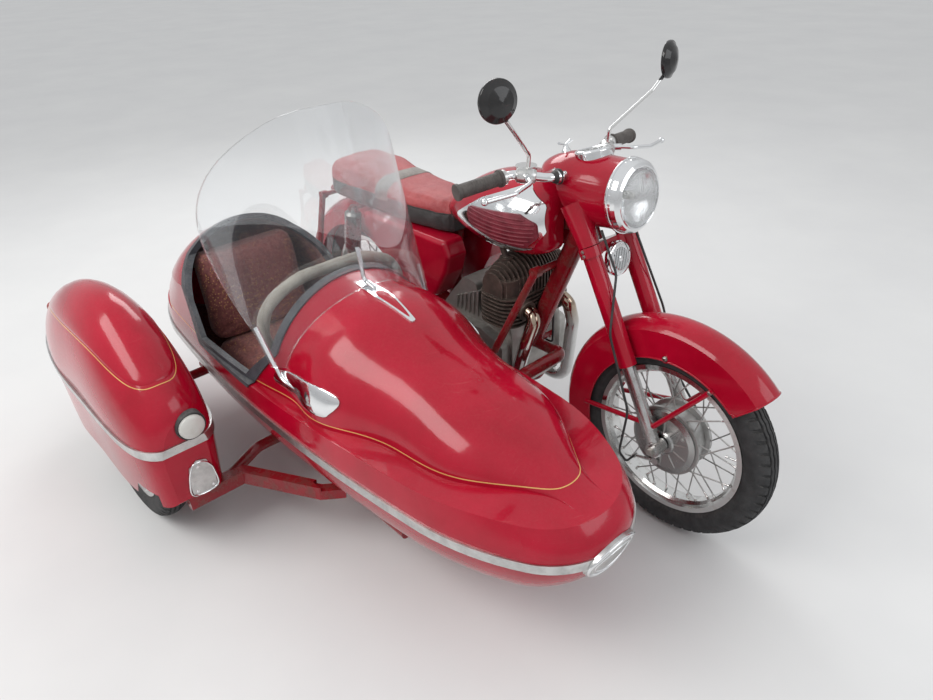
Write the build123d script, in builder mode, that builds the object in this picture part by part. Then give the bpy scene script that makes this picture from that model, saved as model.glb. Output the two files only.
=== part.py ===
from build123d import *
from math import cos, radians, sin
import os

os.makedirs("parts", exist_ok=True)

# Frame of the part: X forward, Y to the left, Z up, the floor at Z = 0 and the origin under the
# middle of the whole outfit. The motorcycle is on the left and the sidecar on its right.
# Points are given from the front axle and from the motorcycle's centre plane.
front_axle_x = 736.0
bike_y = 382.0
wheelbase = 1318.0
rear_x = -wheelbase
seat_gap = 0.3  # clearance between pieces that seat on each other

# Wheels: 16 inch rims with full-width hubs
tyre_r = 288.0
tyre_half = 41.0
tread_half = 30.0
rim_r = 216.5
rim_half = 32.0
rim_bed_r = 204.0
rim_inner_r = 191.0
rim_wall = 3.5
hub_r = 100.0
hub_half = 44.0
hub_mouth = 36.5  # from the wheel's middle to the mouth of the brake drum
hub_waist_r = 84.0
axle_r = 8.0
spoke_r = 1.9
spoke_gap = 0.9
spoke_count = 36
spoke_lean = 24.0  # degrees between a spoke's two ends, seen from the side
brake_plate_r = 92.0
brake_plate_t = 10.0

# Fork: its frame has p ahead of the steering axis, q to the left and t up along the axis,
# with t = 0 at the height of the front axle
rake = 27.0
axle_offset = 55.0
leg_offset = 50.0
leg_half = 75.0
slider_r = 18.0
cover_r = 24.0
cover_low = 233.0
cover_socket = 36.0
clamp_t = 542.0
clamp_h = 26.0
clamp_r = 29.0
stem_r = 14.0
head_r = 26.0
head_low = 558.0
head_high = 664.0
ear_top = 668.0
stem_top = 700.0
tail_floor = 768.0  # underside of the lamp housing behind the steering axis
fender_r = 346.0
fender_half = 50.0
fender_edge_r = 246.0
sheet = 3.0

# Headlamp housing and handlebar
lamp_x = -206.0
lamp_z = 905.0
lamp_tilt = 5.0
lamp_r = 88.0
ring_w = 36.0
lens_r = 72.0
dial_x = -318.0
dial_r = 41.0
bezel_w = 4.0
bezel_low = 2.0
dial_lean = 14.0
bar_r = 11.0
grip_r = 16.5
mirror_r = 46.0
horn_r = 46.0

# Frame tubes, engine, tank, seat and rear end
down_r = 28.0
backbone_r = 22.0
cradle_r = 14.0
rail_r = 11.0
rail_y = 46.7
pivot_x = -880.0
pivot_z = 300.0
arm_y = 84.0
arm_r = 15.0
sleeve_y = 126.0
rear_fender_r = 360.0
rear_fender_half = 80.0
rail_z = tyre_r + rear_fender_r + seat_gap + rail_r
seat_low = rail_z + rail_r + seat_gap
cylinder_x = -549.0
cylinder_half_x = 71.0
cylinder_half_y = 140.0
fin_t = 4.0
fin_pitch = 12.5
crank_half = 105.0
exhaust_r = 20.0
silencer_r = 44.0
silencer_y = 148.0
silencer_z = 208.0
lug_x = -425.0
lug_z = 374.0

# Sidecar body
body_x = -775.0
body_y = -505.0
body_half_length = 965.0
body_half_width = 287.0
strip_z = 370.0
strip_h = 24.0
strip_t = 5.0
floor_z = 210.3
wall = 8.0
cockpit_front = -742.0
cockpit_rear = -1316.0
cockpit_low = 458.0
coaming_w = 26.0
coaming_proud = 4.0
chassis_r = 18.0
chassis_z = floor_z - seat_gap - chassis_r

# Sidecar wheel and its pod
side_wheel_x = -1120.0
side_wheel_y = -1038.0
pod_y = -1000.0
pod_half = 122.0
pod_wall = 4.0

lean = radians(rake)
fork_foot = (front_axle_x - axle_offset * cos(lean), bike_y, tyre_r - axle_offset * sin(lean))
fork_plane = Plane(origin=fork_foot, x_dir=(cos(lean), 0, sin(lean)), z_dir=(-sin(lean), 0, cos(lean)))


def bike(x, y, z):
    """Point given from the front axle, the motorcycle's centre plane and the floor."""
    return Vector(front_axle_x + x, bike_y + y, z)


def fork(p, q, t):
    """Point given in the fork's frame."""
    return fork_plane.from_local_coords(Vector(p, q, t))


def save(part, label):
    """Label a finished piece and write its file."""
    part.label = label
    export_step(part, f"parts/{label}.step")


def largest(part):
    """Biggest solid of a part."""
    return part.solids().sort_by(SortBy.VOLUME)[-1]


def rod(start, end, radius, end_radius=None):
    """Round bar, or a cone, from one point to another."""
    axis = end - start
    bottom = (Align.CENTER, Align.CENTER, Align.MIN)
    with BuildPart() as piece:
        with Locations(Plane(origin=start, z_dir=axis)):
            if end_radius is None:
                Cylinder(radius, axis.length, align=bottom)
            else:
                Cone(radius, end_radius, axis.length, align=bottom)
    return piece.part


def pipe(points, radius, bend):
    """Round tube along straight runs joined by tangent arcs."""
    with BuildPart() as piece:
        with BuildLine() as path:
            FilletPolyline(*points, radius=bend)
        with BuildSketch(Plane(origin=path.line @ 0, z_dir=path.line % 0)):
            Circle(radius)
        sweep()
    return piece.part


def turned(profile, centre, direction):
    """Solid of revolution about a line, from a closed profile of (along the line, radius)."""
    across = Vector(direction).cross(Vector(0, 0, 1))
    across = across if across.length > 0.5 else Vector(0, 1, 0)
    plane = Plane(origin=centre, x_dir=direction, z_dir=across)
    with BuildPart() as piece:
        with BuildSketch(plane):
            with BuildLine():
                Polyline(*profile, close=True)
            make_face()
        revolve(axis=Axis(centre, direction))
    return piece.part


def side_plate(points, y_low, y_high, rounding=0.0):
    """Plate with an outline of (x, z) in the side view, between two distances from the centre plane."""
    with BuildPart() as piece:
        with BuildSketch(Plane(origin=(front_axle_x, bike_y + y_high, 0), x_dir=(1, 0, 0), z_dir=(0, -1, 0))) as face:
            with BuildLine():
                Polyline(*points, close=True)
            make_face()
            if rounding:
                fillet(face.vertices(), rounding)
        extrude(amount=y_high - y_low)
    return piece.part


# Wheels


def make_tyre(x, y):
    """Tyre: a solid ring whose bead stands in the rim's bed."""
    bead_half = rim_half - rim_wall - seat_gap
    bead_r = rim_bed_r + seat_gap
    shoulder_r = tyre_r - 9
    flank_r = (rim_r + tyre_r) / 2
    with BuildPart() as piece:
        with BuildSketch(Plane(origin=bike(x, y, tyre_r), x_dir=(0, 1, 0), z_dir=(1, 0, 0))):
            with BuildLine():
                Polyline((-bead_half, rim_r + 1), (-bead_half, bead_r), (bead_half, bead_r), (bead_half, rim_r + 1))
                ThreePointArc((bead_half, rim_r + 1), (tyre_half, flank_r), (tread_half, shoulder_r))
                ThreePointArc((tread_half, shoulder_r), (0, tyre_r), (-tread_half, shoulder_r))
                ThreePointArc((-tread_half, shoulder_r), (-tyre_half, flank_r), (-bead_half, rim_r + 1))
            make_face()
        revolve(axis=Axis(bike(x, y, tyre_r), (0, 1, 0)))
    return piece.part


def make_rim(x, y):
    """Rolled rim: two flanges, a bed and a dropped centre."""
    lip = rim_half - rim_wall
    profile = [
        (-rim_half, rim_r), (-lip, rim_r), (-lip, rim_bed_r), (lip, rim_bed_r), (lip, rim_r), (rim_half, rim_r),
        (rim_half, rim_bed_r - 1), (lip - 6, rim_bed_r - 6), (14, rim_inner_r), (-14, rim_inner_r),
        (6 - lip, rim_bed_r - 6), (-rim_half, rim_bed_r - 1),
    ]
    return turned(profile, bike(x, y, tyre_r), (0, 1, 0))


def make_hub(x, y, side):
    """Full-width hub, its drum's mouth towards the side given, with the spokes laced in."""
    bore = axle_r + seat_gap
    profile = [  # across the wheel, radius
        (hub_mouth, bore), (hub_mouth, hub_r), (hub_mouth - 10, hub_r), (hub_mouth - 15, hub_waist_r),
        (-22, hub_waist_r), (-26, hub_r - 5), (-36, hub_r - 5), (-hub_half, hub_r - 28), (-hub_half, bore),
    ]
    flange = 31.0
    spokes = []
    for i in range(spoke_count):
        across = flange if i % 2 else -flange
        turn = spoke_lean if i % 4 < 2 else -spoke_lean
        rim_angle = radians(360 / spoke_count * i)
        hub_angle = rim_angle + radians(turn)
        inner_r = hub_r - 9
        outer_r = rim_inner_r - spoke_gap
        inner = bike(x + inner_r * cos(hub_angle), y + across, tyre_r + inner_r * sin(hub_angle))
        outer = bike(x + outer_r * cos(rim_angle), y + across / 6, tyre_r + outer_r * sin(rim_angle))
        spokes.append(rod(inner, outer, spoke_r))
    shell = turned([(side * a, r) for a, r in profile], bike(x, y, tyre_r), (0, 1, 0))
    with BuildPart() as piece:
        add(shell)
        add(spokes)
    return piece.part


def brake_plate(x, y, side):
    """Brake plate with its raised middle, cam boss and lever, beside the drum's mouth."""
    face = hub_mouth + 1
    outer = face + brake_plate_t
    profile = [
        (face, axle_r - 1), (face, brake_plate_r), (face + 4, brake_plate_r), (outer, brake_plate_r - 14),
        (outer, 34), (outer + 4, 30), (outer + 4, axle_r - 1),
    ]
    cam = bike(x - 12, y + side * outer, tyre_r - 66)
    tip = bike(x - 78, y + side * (outer + 4), tyre_r - 84)
    with BuildPart() as piece:
        add(turned([(side * a, r) for a, r in profile], bike(x, y, tyre_r), (0, 1, 0)))
        add(rod(cam - Vector(0, side * 3, 0), cam + Vector(0, side * 9, 0), 10))
        add(rod(cam + Vector(0, side * 5, 0), tip, 4))
        add(rod(tip - Vector(0, 6, 0), tip + Vector(0, 6, 0), 6))
    return piece.part


def arch(x, y, radius, half, edge_r, start, end, crown=26.0):
    """Deep fender round a wheel: angles are from straight ahead, upwards and back."""
    a = radians(start)
    plane = Plane(origin=bike(x, y, tyre_r), x_dir=(0, 1, 0), z_dir=(sin(a), 0, -cos(a)))
    side_r = radius - crown
    with BuildPart() as piece:
        with BuildSketch(plane):
            with BuildLine():
                Line((-half, edge_r), (-half, side_r))
                ThreePointArc((-half, side_r), (0, radius), (half, side_r))
                Polyline((half, side_r), (half, edge_r), (half - sheet, edge_r), (half - sheet, side_r - 1))
                ThreePointArc((half - sheet, side_r - 1), (0, radius - sheet), (sheet - half, side_r - 1))
                Polyline((sheet - half, side_r - 1), (sheet - half, edge_r), (-half, edge_r))
            make_face()
        revolve(axis=Axis(bike(x, y, tyre_r), (0, -1, 0)), revolution_arc=end - start)
    return piece.part


wheels = [  # name, x, y, side of the brake plate
    ("front", 0.0, 0.0, -1),
    ("rear", rear_x, 0.0, -1),
    ("sidecar", side_wheel_x, side_wheel_y, 1),
]
for name, x, y, side in wheels:
    save(make_tyre(x, y), f"{name}_tyre")
    save(make_rim(x, y), f"{name}_rim")
    save(make_hub(x, y, side), f"{name}_hub")

# Front fork and its fender

with BuildPart() as fork_sliders:
    for q in (-leg_half, leg_half):
        add(rod(fork(leg_offset, q, -22), fork(leg_offset, q, cover_low + cover_socket - 2), slider_r))
        add(rod(bike(0, q * 1.27, tyre_r), bike(0, q * 0.73, tyre_r), 20))
        add(rod(bike(0, q * 1.36, tyre_r), bike(0, q * 1.2, tyre_r), 13))
    add(rod(bike(0, -leg_half, tyre_r), bike(0, leg_half, tyre_r), axle_r))
    add(brake_plate(0, 0, -1))
save(fork_sliders.part, "fork_sliders")

yoke = [(-20, -22), (-20, 22), (leg_offset + 12, leg_half), (leg_offset + 12, -leg_half)]
with BuildPart() as fork_covers:
    for q in (-leg_half, leg_half):
        add(rod(fork(leg_offset, q, cover_low), fork(leg_offset, q, clamp_t + clamp_h / 2), cover_r))
        add(rod(fork(leg_offset, q, clamp_t - clamp_h / 2), fork(leg_offset, q, clamp_t + clamp_h / 2), clamp_r))
    with BuildSketch(fork_plane.offset(clamp_t - clamp_h / 2)) as yoke_face:
        with BuildLine():
            Polyline(*yoke, close=True)
        make_face()
        fillet(yoke_face.vertices(), 14)
    extrude(amount=clamp_h)
    add(rod(fork(0, 0, clamp_t), fork(0, 0, stem_top - seat_gap), stem_r))
    for q in (-leg_half, leg_half):
        add(
            rod(fork(leg_offset, q, cover_low - 1), fork(leg_offset, q, cover_low + cover_socket), slider_r + seat_gap),
            mode=Mode.SUBTRACT,
        )
save(fork_covers.part, "fork_covers")

with BuildPart() as front_fender:
    add(arch(0, 0, fender_r, fender_half, fender_edge_r, 44, 192))
    for q in (-1, 1):
        lug = bike(-14, q * (leg_half + 2), tyre_r + 62)
        edge_front = bike(118, q * (fender_half - 1), tyre_r + 222)
        edge_rear = bike(-258, q * (fender_half - 1), tyre_r + 10)
        for edge in (edge_front, edge_rear):
            add(rod(lug, edge, 7))
        add(rod(bike(-20, q * (fender_half - 2), tyre_r + 252), bike(-20, q * fender_half + q, tyre_r + 252), 12))
    for q in (-leg_half, leg_half):
        add(rod(fork(leg_offset, q, 0), fork(leg_offset, q, 200), slider_r + seat_gap), mode=Mode.SUBTRACT)
save(front_fender.part, "front_fender")

# Headlamp housing

lamp_dir = Vector(cos(radians(lamp_tilt)), 0, sin(radians(lamp_tilt)))
lamp_up = Vector(-sin(radians(lamp_tilt)), 0, cos(radians(lamp_tilt)))
lamp_centre = bike(lamp_x, 0, lamp_z)
housing_sections = [  # distance behind the ring, half width, half height, rise
    (0.0, lamp_r, lamp_r, 0.0),
    (70.0, lamp_r + 1, lamp_r + 1, 2.0),
    (150.0, 86.0, 84.0, 10.0),
    (216.0, 62.0, 56.0, 26.0),
    (250.0, 34.0, 28.0, 38.0),
]
tail_cut = [(-205, -150), (26, -150), (4, 0), (26, 150), (-205, 150)]  # ahead of the steering axis, to the left
dial_axis = Vector(-sin(radians(dial_lean)), 0, cos(radians(dial_lean)))
dial_top = bike(dial_x, 0, lamp_z + 86)
with BuildPart() as nacelle:
    for back, half_w, half_h, rise in housing_sections:
        with BuildSketch(Plane(origin=lamp_centre - lamp_dir * back + lamp_up * rise, x_dir=(0, 1, 0), z_dir=lamp_dir)):
            Ellipse(half_w, half_h)
    loft()
    for q in (-leg_half, leg_half):
        add(rod(fork(leg_offset, q, clamp_t + clamp_h / 2), fork(leg_offset - 6, q * 0.94, ear_top), 27, 37))
    with BuildSketch(fork_plane.offset(head_low - 30)):
        with BuildLine():
            Polyline(*tail_cut, close=True)
        make_face()
    extrude(amount=tail_floor - head_low + 30, mode=Mode.SUBTRACT)
    add(rod(fork(0, 0, head_low - 20), fork(0, 0, stem_top), head_r + 8), mode=Mode.SUBTRACT)
    for q in (-leg_half, leg_half):
        clamp_top = fork(leg_offset, q, clamp_t + clamp_h / 2 + seat_gap)
        add(rod(fork(leg_offset, q, cover_low), clamp_top, clamp_r + seat_gap), mode=Mode.SUBTRACT)
    add(rod(dial_top - dial_axis * 18, dial_top + dial_axis * 40, dial_r + seat_gap), mode=Mode.SUBTRACT)
    bezel_seat = dial_top + dial_axis * (bezel_low - seat_gap)
    add(rod(bezel_seat, dial_top + dial_axis * 40, dial_r + bezel_w + seat_gap), mode=Mode.SUBTRACT)
save(nacelle.part, "nacelle")

ring_profile = [  # ahead of the housing's edge, radius
    (seat_gap, lamp_r + 3), (ring_w - 20, lamp_r + 3), (ring_w - 9, lamp_r), (ring_w - 3, lamp_r - 6),
    (ring_w, lens_r + 4), (ring_w, lens_r + seat_gap),
    (ring_w - 10, lens_r + seat_gap), (ring_w - 10, lens_r - 6), (seat_gap, lens_r - 6),
]
save(turned(ring_profile, lamp_centre, lamp_dir), "headlamp_ring")

lens_back = ring_w - 10 + seat_gap
with BuildPart() as headlamp_lens:
    with BuildSketch(Plane(origin=lamp_centre, x_dir=lamp_dir, z_dir=(0, -1, 0))):
        with BuildLine():
            Polyline((ring_w, lens_r), (lens_back, lens_r), (lens_back, 0), (ring_w + 16, 0))
            ThreePointArc((ring_w + 16, 0), (ring_w + 12, lens_r / 2), (ring_w, lens_r))
        make_face()
    revolve(axis=Axis(lamp_centre, lamp_dir))
save(headlamp_lens.part, "headlamp_lens")

with BuildPart() as instruments:
    add(rod(dial_top - dial_axis * (18 - seat_gap), dial_top + dial_axis * 5, dial_r))
    add(rod(dial_top + dial_axis * bezel_low, dial_top + dial_axis * 6, dial_r + bezel_w, dial_r))
save(instruments.part, "instruments")

# Handlebar, grips, levers and mirrors: one half is given on the right and mirrored to the left

bar_points = [(-345, -60, 943), (-352, -118, 946), (-419.5, -179, 956.2), (-427, -212, 953)]
grip_end = bike(-455, -336, 941)
grip_in = bike(*bar_points[-1])
grip_dir = (grip_end - grip_in).normalized()
centre_plane = Plane(origin=bike(0, 0, 0), x_dir=(1, 0, 0), z_dir=(0, 1, 0))
with BuildPart() as handlebar:
    add(pipe([bike(*p) for p in bar_points], bar_r, 40))
    add(rod(bike(-345, -88, 944.5), bike(-349, -100, 945), 17))
    add(nacelle.part, mode=Mode.SUBTRACT)
    mirror(about=centre_plane)
handlebar_part = Compound(children=[s for s in handlebar.part.solids() if s.volume > 20000])
save(handlebar_part, "handlebar")

with BuildPart() as grips:
    add(rod(grip_in + grip_dir * seat_gap, grip_end, grip_r))
    add(rod(grip_in + grip_dir * seat_gap, grip_in + grip_dir * 8, grip_r + 5))
    add(rod(grip_end - grip_dir * 7, grip_end, grip_r + 4))
    mirror(about=centre_plane)
save(grips.part, "grips")

perch_in = bike(-392.5, -154.6, 952.1)
perch_dir = (bike(*bar_points[2]) - bike(*bar_points[1])).normalized()
lever_points = [(-372, -176, 957), (-340, -200, 956), (-330, -262, 948), (-350, -342, 944)]
with BuildPart() as levers:
    add(rod(perch_in - perch_dir * 12, perch_in + perch_dir * 14, 18))
    add(pipe([bike(*p) for p in lever_points], 5.5, 24))
    add(rod(bike(-390, -165, 955), bike(-366, -180, 957), 9))
    with Locations(bike(*lever_points[-1])):
        Sphere(8.5)
    add(rod(perch_in - perch_dir * 30, perch_in + perch_dir * 30, bar_r + seat_gap), mode=Mode.SUBTRACT)
    mirror(about=centre_plane)
save(levers.part, "levers")

mirror_points = [(-392.5, -154.6, 970.6), (-390, -154, 1004), (-340, -262, 1092), (-332, -298, 1128)]
mirror_centre = bike(-330, -314, 1163)
mirror_dir = Vector(1, -0.25, 0.05).normalized()
mirror_profile = [(-6, 0.5), (-6, mirror_r), (2, mirror_r), (12, mirror_r - 14), (18, mirror_r - 34), (20, 0.5)]
with BuildPart() as mirrors:
    add(pipe([bike(*p) for p in mirror_points], 5, 14))
    add(turned(mirror_profile, mirror_centre, mirror_dir))
    mirror(about=centre_plane)
save(mirrors.part, "mirrors")

horn_centre = bike(-219, 0, 736)
horn_dir = Vector(cos(radians(12)), 0, sin(radians(12)))
horn_profile = [
    (-22, 0), (-22, 18), (-18, 22), (-14, 26), (-10, 38), (-8, horn_r), (0, horn_r), (5, horn_r - 6), (6, 0),
]
with BuildPart() as horn:
    add(turned(horn_profile, horn_centre, horn_dir))
    add(rod(horn_centre - horn_dir * 10, fork(40, 0, clamp_t - clamp_h / 2 + 3), 7))
    add(fork_covers.part, mode=Mode.SUBTRACT)
save(largest(horn.part), "horn")

# Motorcycle frame

head_back = fork(-10, 0, (head_low + head_high) / 2)
down_top = fork(-14, 0, head_low + 48)
down_low = bike(-516, 0, 376)
spine_end = bike(-776, 0, 716)
with BuildPart() as frame:
    add(rod(fork(0, 0, head_low), fork(0, 0, head_high), head_r))
    add(rod(head_back, spine_end, backbone_r))
    add(rod(down_top, down_low, down_r))
    add(pipe([spine_end, bike(-838, 0, 672), bike(pivot_x, 0, pivot_z)], backbone_r - 2, 50))
    add(rod(bike(-840, -rail_y, rail_z), bike(-840, rail_y, rail_z), rail_r - 2))
    add(rod(bike(-500, 0, lug_z), bike(lug_x, 0, lug_z), 16))
    add(rod(bike(-510, -72, 380), bike(-510, 72, 380), 16))
    for q in (-1, 1):
        add(pipe([bike(-510, q * 62, 380), bike(-540, q * 62, 186), bike(-850, q * 62, 186),
                  bike(pivot_x, q * 62, pivot_z)], cradle_r, 60))
        add(rod(bike(-829, q * rail_y, rail_z), bike(-1480, q * rail_y, rail_z), rail_r))
    add(rod(bike(-1240, -142, rail_z), bike(-1240, 142, rail_z), 8))
    add(rod(bike(-1440, -104, rail_z), bike(-1440, 104, rail_z), 8))
    add(rod(bike(rear_x, -rail_y, rail_z - 1.2), bike(rear_x, rail_y, rail_z - 1.2), rail_r - 1.4))
    add(rod(bike(pivot_x, -104, pivot_z), bike(pivot_x, 104, pivot_z), 16))
    add(rod(bike(-414, -10, 668), bike(-414, -86, 668), 10))
    add(rod(fork(0, 0, head_low - 5), fork(0, 0, head_high + 60), stem_r + seat_gap), mode=Mode.SUBTRACT)
save(frame.part, "frame")


# Engine: crankcase with side covers, finned barrels and heads

crank_outline = [
    (-504, 236), (-498, 300), (-498, 420), (-506, 466), (-634, 466), (-650, 560), (-704, 566), (-760, 500),
    (-822, 420), (-846, 330), (-830, 236), (-780, 212), (-560, 212),
]
clutch_outline = [(-508, 262), (-508, 410), (-600, 440), (-760, 430), (-806, 330), (-780, 240), (-560, 236)]
intake_outline = [(-630, 476), (-646, 552), (-698, 556), (-750, 494), (-770, 440), (-640, 440)]
crank_right_z = 368.0
with BuildPart() as engine:
    add(side_plate(crank_outline, -crank_half, crank_half, 16))
    add(side_plate(clutch_outline, crank_half - 1, crank_half + 38, 18))
    add(side_plate(clutch_outline, -crank_half - 34, 1 - crank_half, 18))
    for i in range(6):
        rib_x = -648 - 19 * i
        rib = [(rib_x, 452), (rib_x + 7, 452), (rib_x + 14, 540 - 9 * i), (rib_x + 7, 540 - 9 * i)]
        add(side_plate(rib, -crank_half - 5, crank_half + 5))
    add(rod(bike(-650, -crank_half - 30, 340), bike(-650, -crank_half - 38, 340), 62))
    for q in (-1, 1):
        add(
            pipe([bike(-510, q * 62, 380), bike(-540, q * 62, 186), bike(-850, q * 62, 186),
                  bike(pivot_x, q * 62, pivot_z)], cradle_r + seat_gap, 60),
            mode=Mode.SUBTRACT,
        )
    add(rod(bike(-510, -80, 380), bike(-510, 80, 380), 16 + seat_gap), mode=Mode.SUBTRACT)
    add(rod(down_top, down_low, down_r + 2), mode=Mode.SUBTRACT)
    add(rod(bike(-500, 0, lug_z), bike(lug_x, 0, lug_z), 16 + seat_gap), mode=Mode.SUBTRACT)
save(engine.part, "engine")

barrel_low = 466.0
head_base = 566.0
with BuildPart() as cylinders:
    with BuildSketch(Plane(bike(cylinder_x, 0, barrel_low))):
        RectangleRounded(2 * cylinder_half_x - 34, 2 * cylinder_half_y - 34, 36)
    extrude(amount=head_base - barrel_low)
    for i in range(8):
        with BuildSketch(Plane(bike(cylinder_x, 0, barrel_low + 6 + fin_pitch * i))):
            RectangleRounded(2 * cylinder_half_x, 2 * cylinder_half_y, 48)
        extrude(amount=fin_t)
    for i in range(-10, 11):
        y = i * fin_pitch * 1.06
        drop = 0.0022 * y * y
        half = cylinder_half_x - 2 - drop * 0.8
        top = 672 - drop
        with BuildSketch(Plane(origin=bike(cylinder_x, y + fin_t / 2, 0), x_dir=(1, 0, 0), z_dir=(0, -1, 0))):
            with BuildLine():
                Polyline((-half, top - 52), (-half, head_base - 1), (half, head_base - 1), (half, top - 52))
                ThreePointArc((half, top - 52), (0, top), (-half, top - 52))
            make_face()
        extrude(amount=fin_t)
    with BuildSketch(Plane(bike(cylinder_x, 0, head_base - 1))):
        RectangleRounded(2 * cylinder_half_x - 30, 2 * cylinder_half_y - 20, 36)
    extrude(amount=50)
    for q in (-70, 70):
        add(rod(bike(cylinder_x - 6, q, 600), bike(cylinder_x - 6, q, 664), 20))
        add(rod(bike(cylinder_x - 6, q, 660), bike(cylinder_x - 22, q, 690), 9))
        add(rod(bike(cylinder_x + 40, q, 524), bike(cylinder_x + cylinder_half_x + 8, q, 518), 30))
    add(rod(down_top, down_low, down_r + 5), mode=Mode.SUBTRACT)
save(cylinders.part, "cylinders")

# Exhausts: bent header and long silencer on each side

port_x = cylinder_x + cylinder_half_x + 8 + seat_gap
header_points = [  # x, y, z
    (port_x, 70, 518), (port_x + 32, 70, 513), (-446, 104, 430), (-466, 118, 330), (-488, 126, 188),
    (-640, 138, 186), (-880, silencer_y, silencer_z),
]
header_bends = [29, 50, 90, 70, 90]
silencer_profile = [
    (0, 21), (60, silencer_r - 6), (120, silencer_r), (640, silencer_r), (760, silencer_r - 12), (800, 24), (800, 16),
    (760, 16), (760, 0), (0, 0),
]
with BuildPart() as exhausts:
    add(pipe([bike(*p) for p in header_points], exhaust_r, header_bends))
    add(turned(silencer_profile, bike(-880, silencer_y, silencer_z), Vector(-1, 0, 0.035).normalized()))
    mirror(about=centre_plane)
save(exhausts.part, "exhausts")

# Fuel tank, its side panels and knee pads

tank_sections = [  # x, half width, underside, widest height, top
    (-378.0, 66.0, 742.0, 800.0, 856.0),
    (-404.0, 108.0, 716.0, 794.0, 890.0),
    (-460.0, 132.0, 702.0, 788.0, 905.0),
    (-570.0, 138.0, 699.0, 782.0, 902.0),
    (-690.0, 118.0, 710.0, 772.0, 866.0),
    (-786.0, 80.0, 722.0, 758.0, 802.0),
]


def tank_body(grow):
    """Tank skin, grown evenly outwards."""
    with BuildPart() as piece:
        for x, half, low, mid, top in tank_sections:
            half += grow
            with BuildSketch(Plane(origin=bike(x, 0, 0), x_dir=(0, 1, 0), z_dir=(1, 0, 0))):
                with BuildLine():
                    Line((-half * 0.55, low - grow), (half * 0.55, low - grow))
                    EllipticalCenterArc((half * 0.55, mid), half * 0.45, mid - low + grow, 270, arc_size=90)
                    EllipticalCenterArc((0, mid), half, top - mid + grow, 0, arc_size=180)
                    EllipticalCenterArc((-half * 0.55, mid), half * 0.45, mid - low + grow, 180, arc_size=90)
                make_face()
        loft()
    return piece.part


spine_drop = (spine_end.Z - head_back.Z) / (spine_end.X - head_back.X)
spine_top = backbone_r + 1 + seat_gap
tunnel = [
    (-330, head_back.Z + (front_axle_x - 330 - head_back.X) * spine_drop + spine_top), (-330, 600), (-820, 600),
    (-820, head_back.Z + (front_axle_x - 820 - head_back.X) * spine_drop + spine_top),
]
tank_skin = tank_body(0)
with BuildPart() as tank:
    add(tank_skin)
    add(side_plate(tunnel, -down_r - 4, down_r + 4), mode=Mode.SUBTRACT)
    add(rod(bike(-545, 0, 860), bike(-545, 0, 914), 30))
save(tank.part, "tank")

tank_clear = tank_body(seat_gap)
pad_t = 9.0
panel_t = 2.0
pad_outline = [(-648, 812), (-632, 766), (-520, 740), (-430, 742), (-398, 776), (-402, 812), (-450, 832)]
panel_outline = [
    (-470, 896), (-600, 842), (-742, 752), (-600, 712), (-500, 712), (-420, 734), (-386, 786), (-396, 856),
]
with BuildPart() as knee_pads:
    add(tank_body(pad_t))
    add(tank_clear, mode=Mode.SUBTRACT)
    add(side_plate(pad_outline, 70, 170, 16), mode=Mode.INTERSECT)
    mirror(about=centre_plane)
save(knee_pads.part, "knee_pads")
with BuildPart() as tank_panels:
    add(tank_body(panel_t))
    add(tank_clear, mode=Mode.SUBTRACT)
    add(side_plate(panel_outline, 50, 170, 22), mode=Mode.INTERSECT)
    add(side_plate(pad_outline, 50, 180, 16), mode=Mode.SUBTRACT)
    mirror(about=centre_plane)
save(tank_panels.part, "tank_panels")

# Dual seat, side covers and rear fender

seat_sections = [  # x, half width, top
    (-787.0, 70.0, 752.0), (-850.0, 96.0, 764.0), (-960.0, 112.0, 766.0), (-1100.0, 116.0, 776.0),
    (-1230.0, 118.0, 800.0), (-1350.0, 114.0, 802.0), (-1420.0, 92.0, 782.0),
]
with BuildPart() as seat:
    for x, half, top in seat_sections:
        with BuildSketch(Plane(origin=bike(x, 0, 0), x_dir=(0, 1, 0), z_dir=(1, 0, 0))):
            with BuildLine():
                Polyline((-half, top - 30), (-half, seat_low), (half, seat_low), (half, top - 30))
                ThreePointArc((half, top - 30), (half * 0.84, top - 9), (half * 0.5, top))
                Line((half * 0.5, top), (-half * 0.5, top))
                ThreePointArc((-half * 0.5, top), (-half * 0.84, top - 9), (-half, top - 30))
            make_face()
    loft()
    add(rod(spine_end + Vector(60, 0, 42), spine_end - Vector(62, 0, 44), backbone_r + 2), mode=Mode.SUBTRACT)
    with Locations(bike(-830, 0, seat_low)):
        Box(90, 2 * backbone_r + 2, 60, mode=Mode.SUBTRACT)
save(seat.part, "seat")

cover_outline = [
    (-760, seat_low - 4), (-742, 620), (-760, 560), (-812, 474), (-870, 440), (-1000, 430), (-1180, 470),
    (-1180, seat_low - 4),
]
cover_in = rail_y + rail_r + seat_gap
with BuildPart() as side_covers:
    add(side_plate(cover_outline, cover_in, cover_in + 74, 18))
    outer = side_covers.faces().sort_by(Axis.Y)[-1]
    fillet(outer.edges(), 16)
    add(rod(bike(rear_x, -200, tyre_r), bike(rear_x, 200, tyre_r), rear_fender_r + 2), mode=Mode.SUBTRACT)
    mirror(about=centre_plane)
save(side_covers.part, "side_covers")

with BuildPart() as rear_fender:
    add(arch(rear_x, 0, rear_fender_r, rear_fender_half, tyre_r - 16, 36, 188, 34))
save(rear_fender.part, "rear_fender")

# Swingarm with its chain case, and the two shock absorbers

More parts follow.
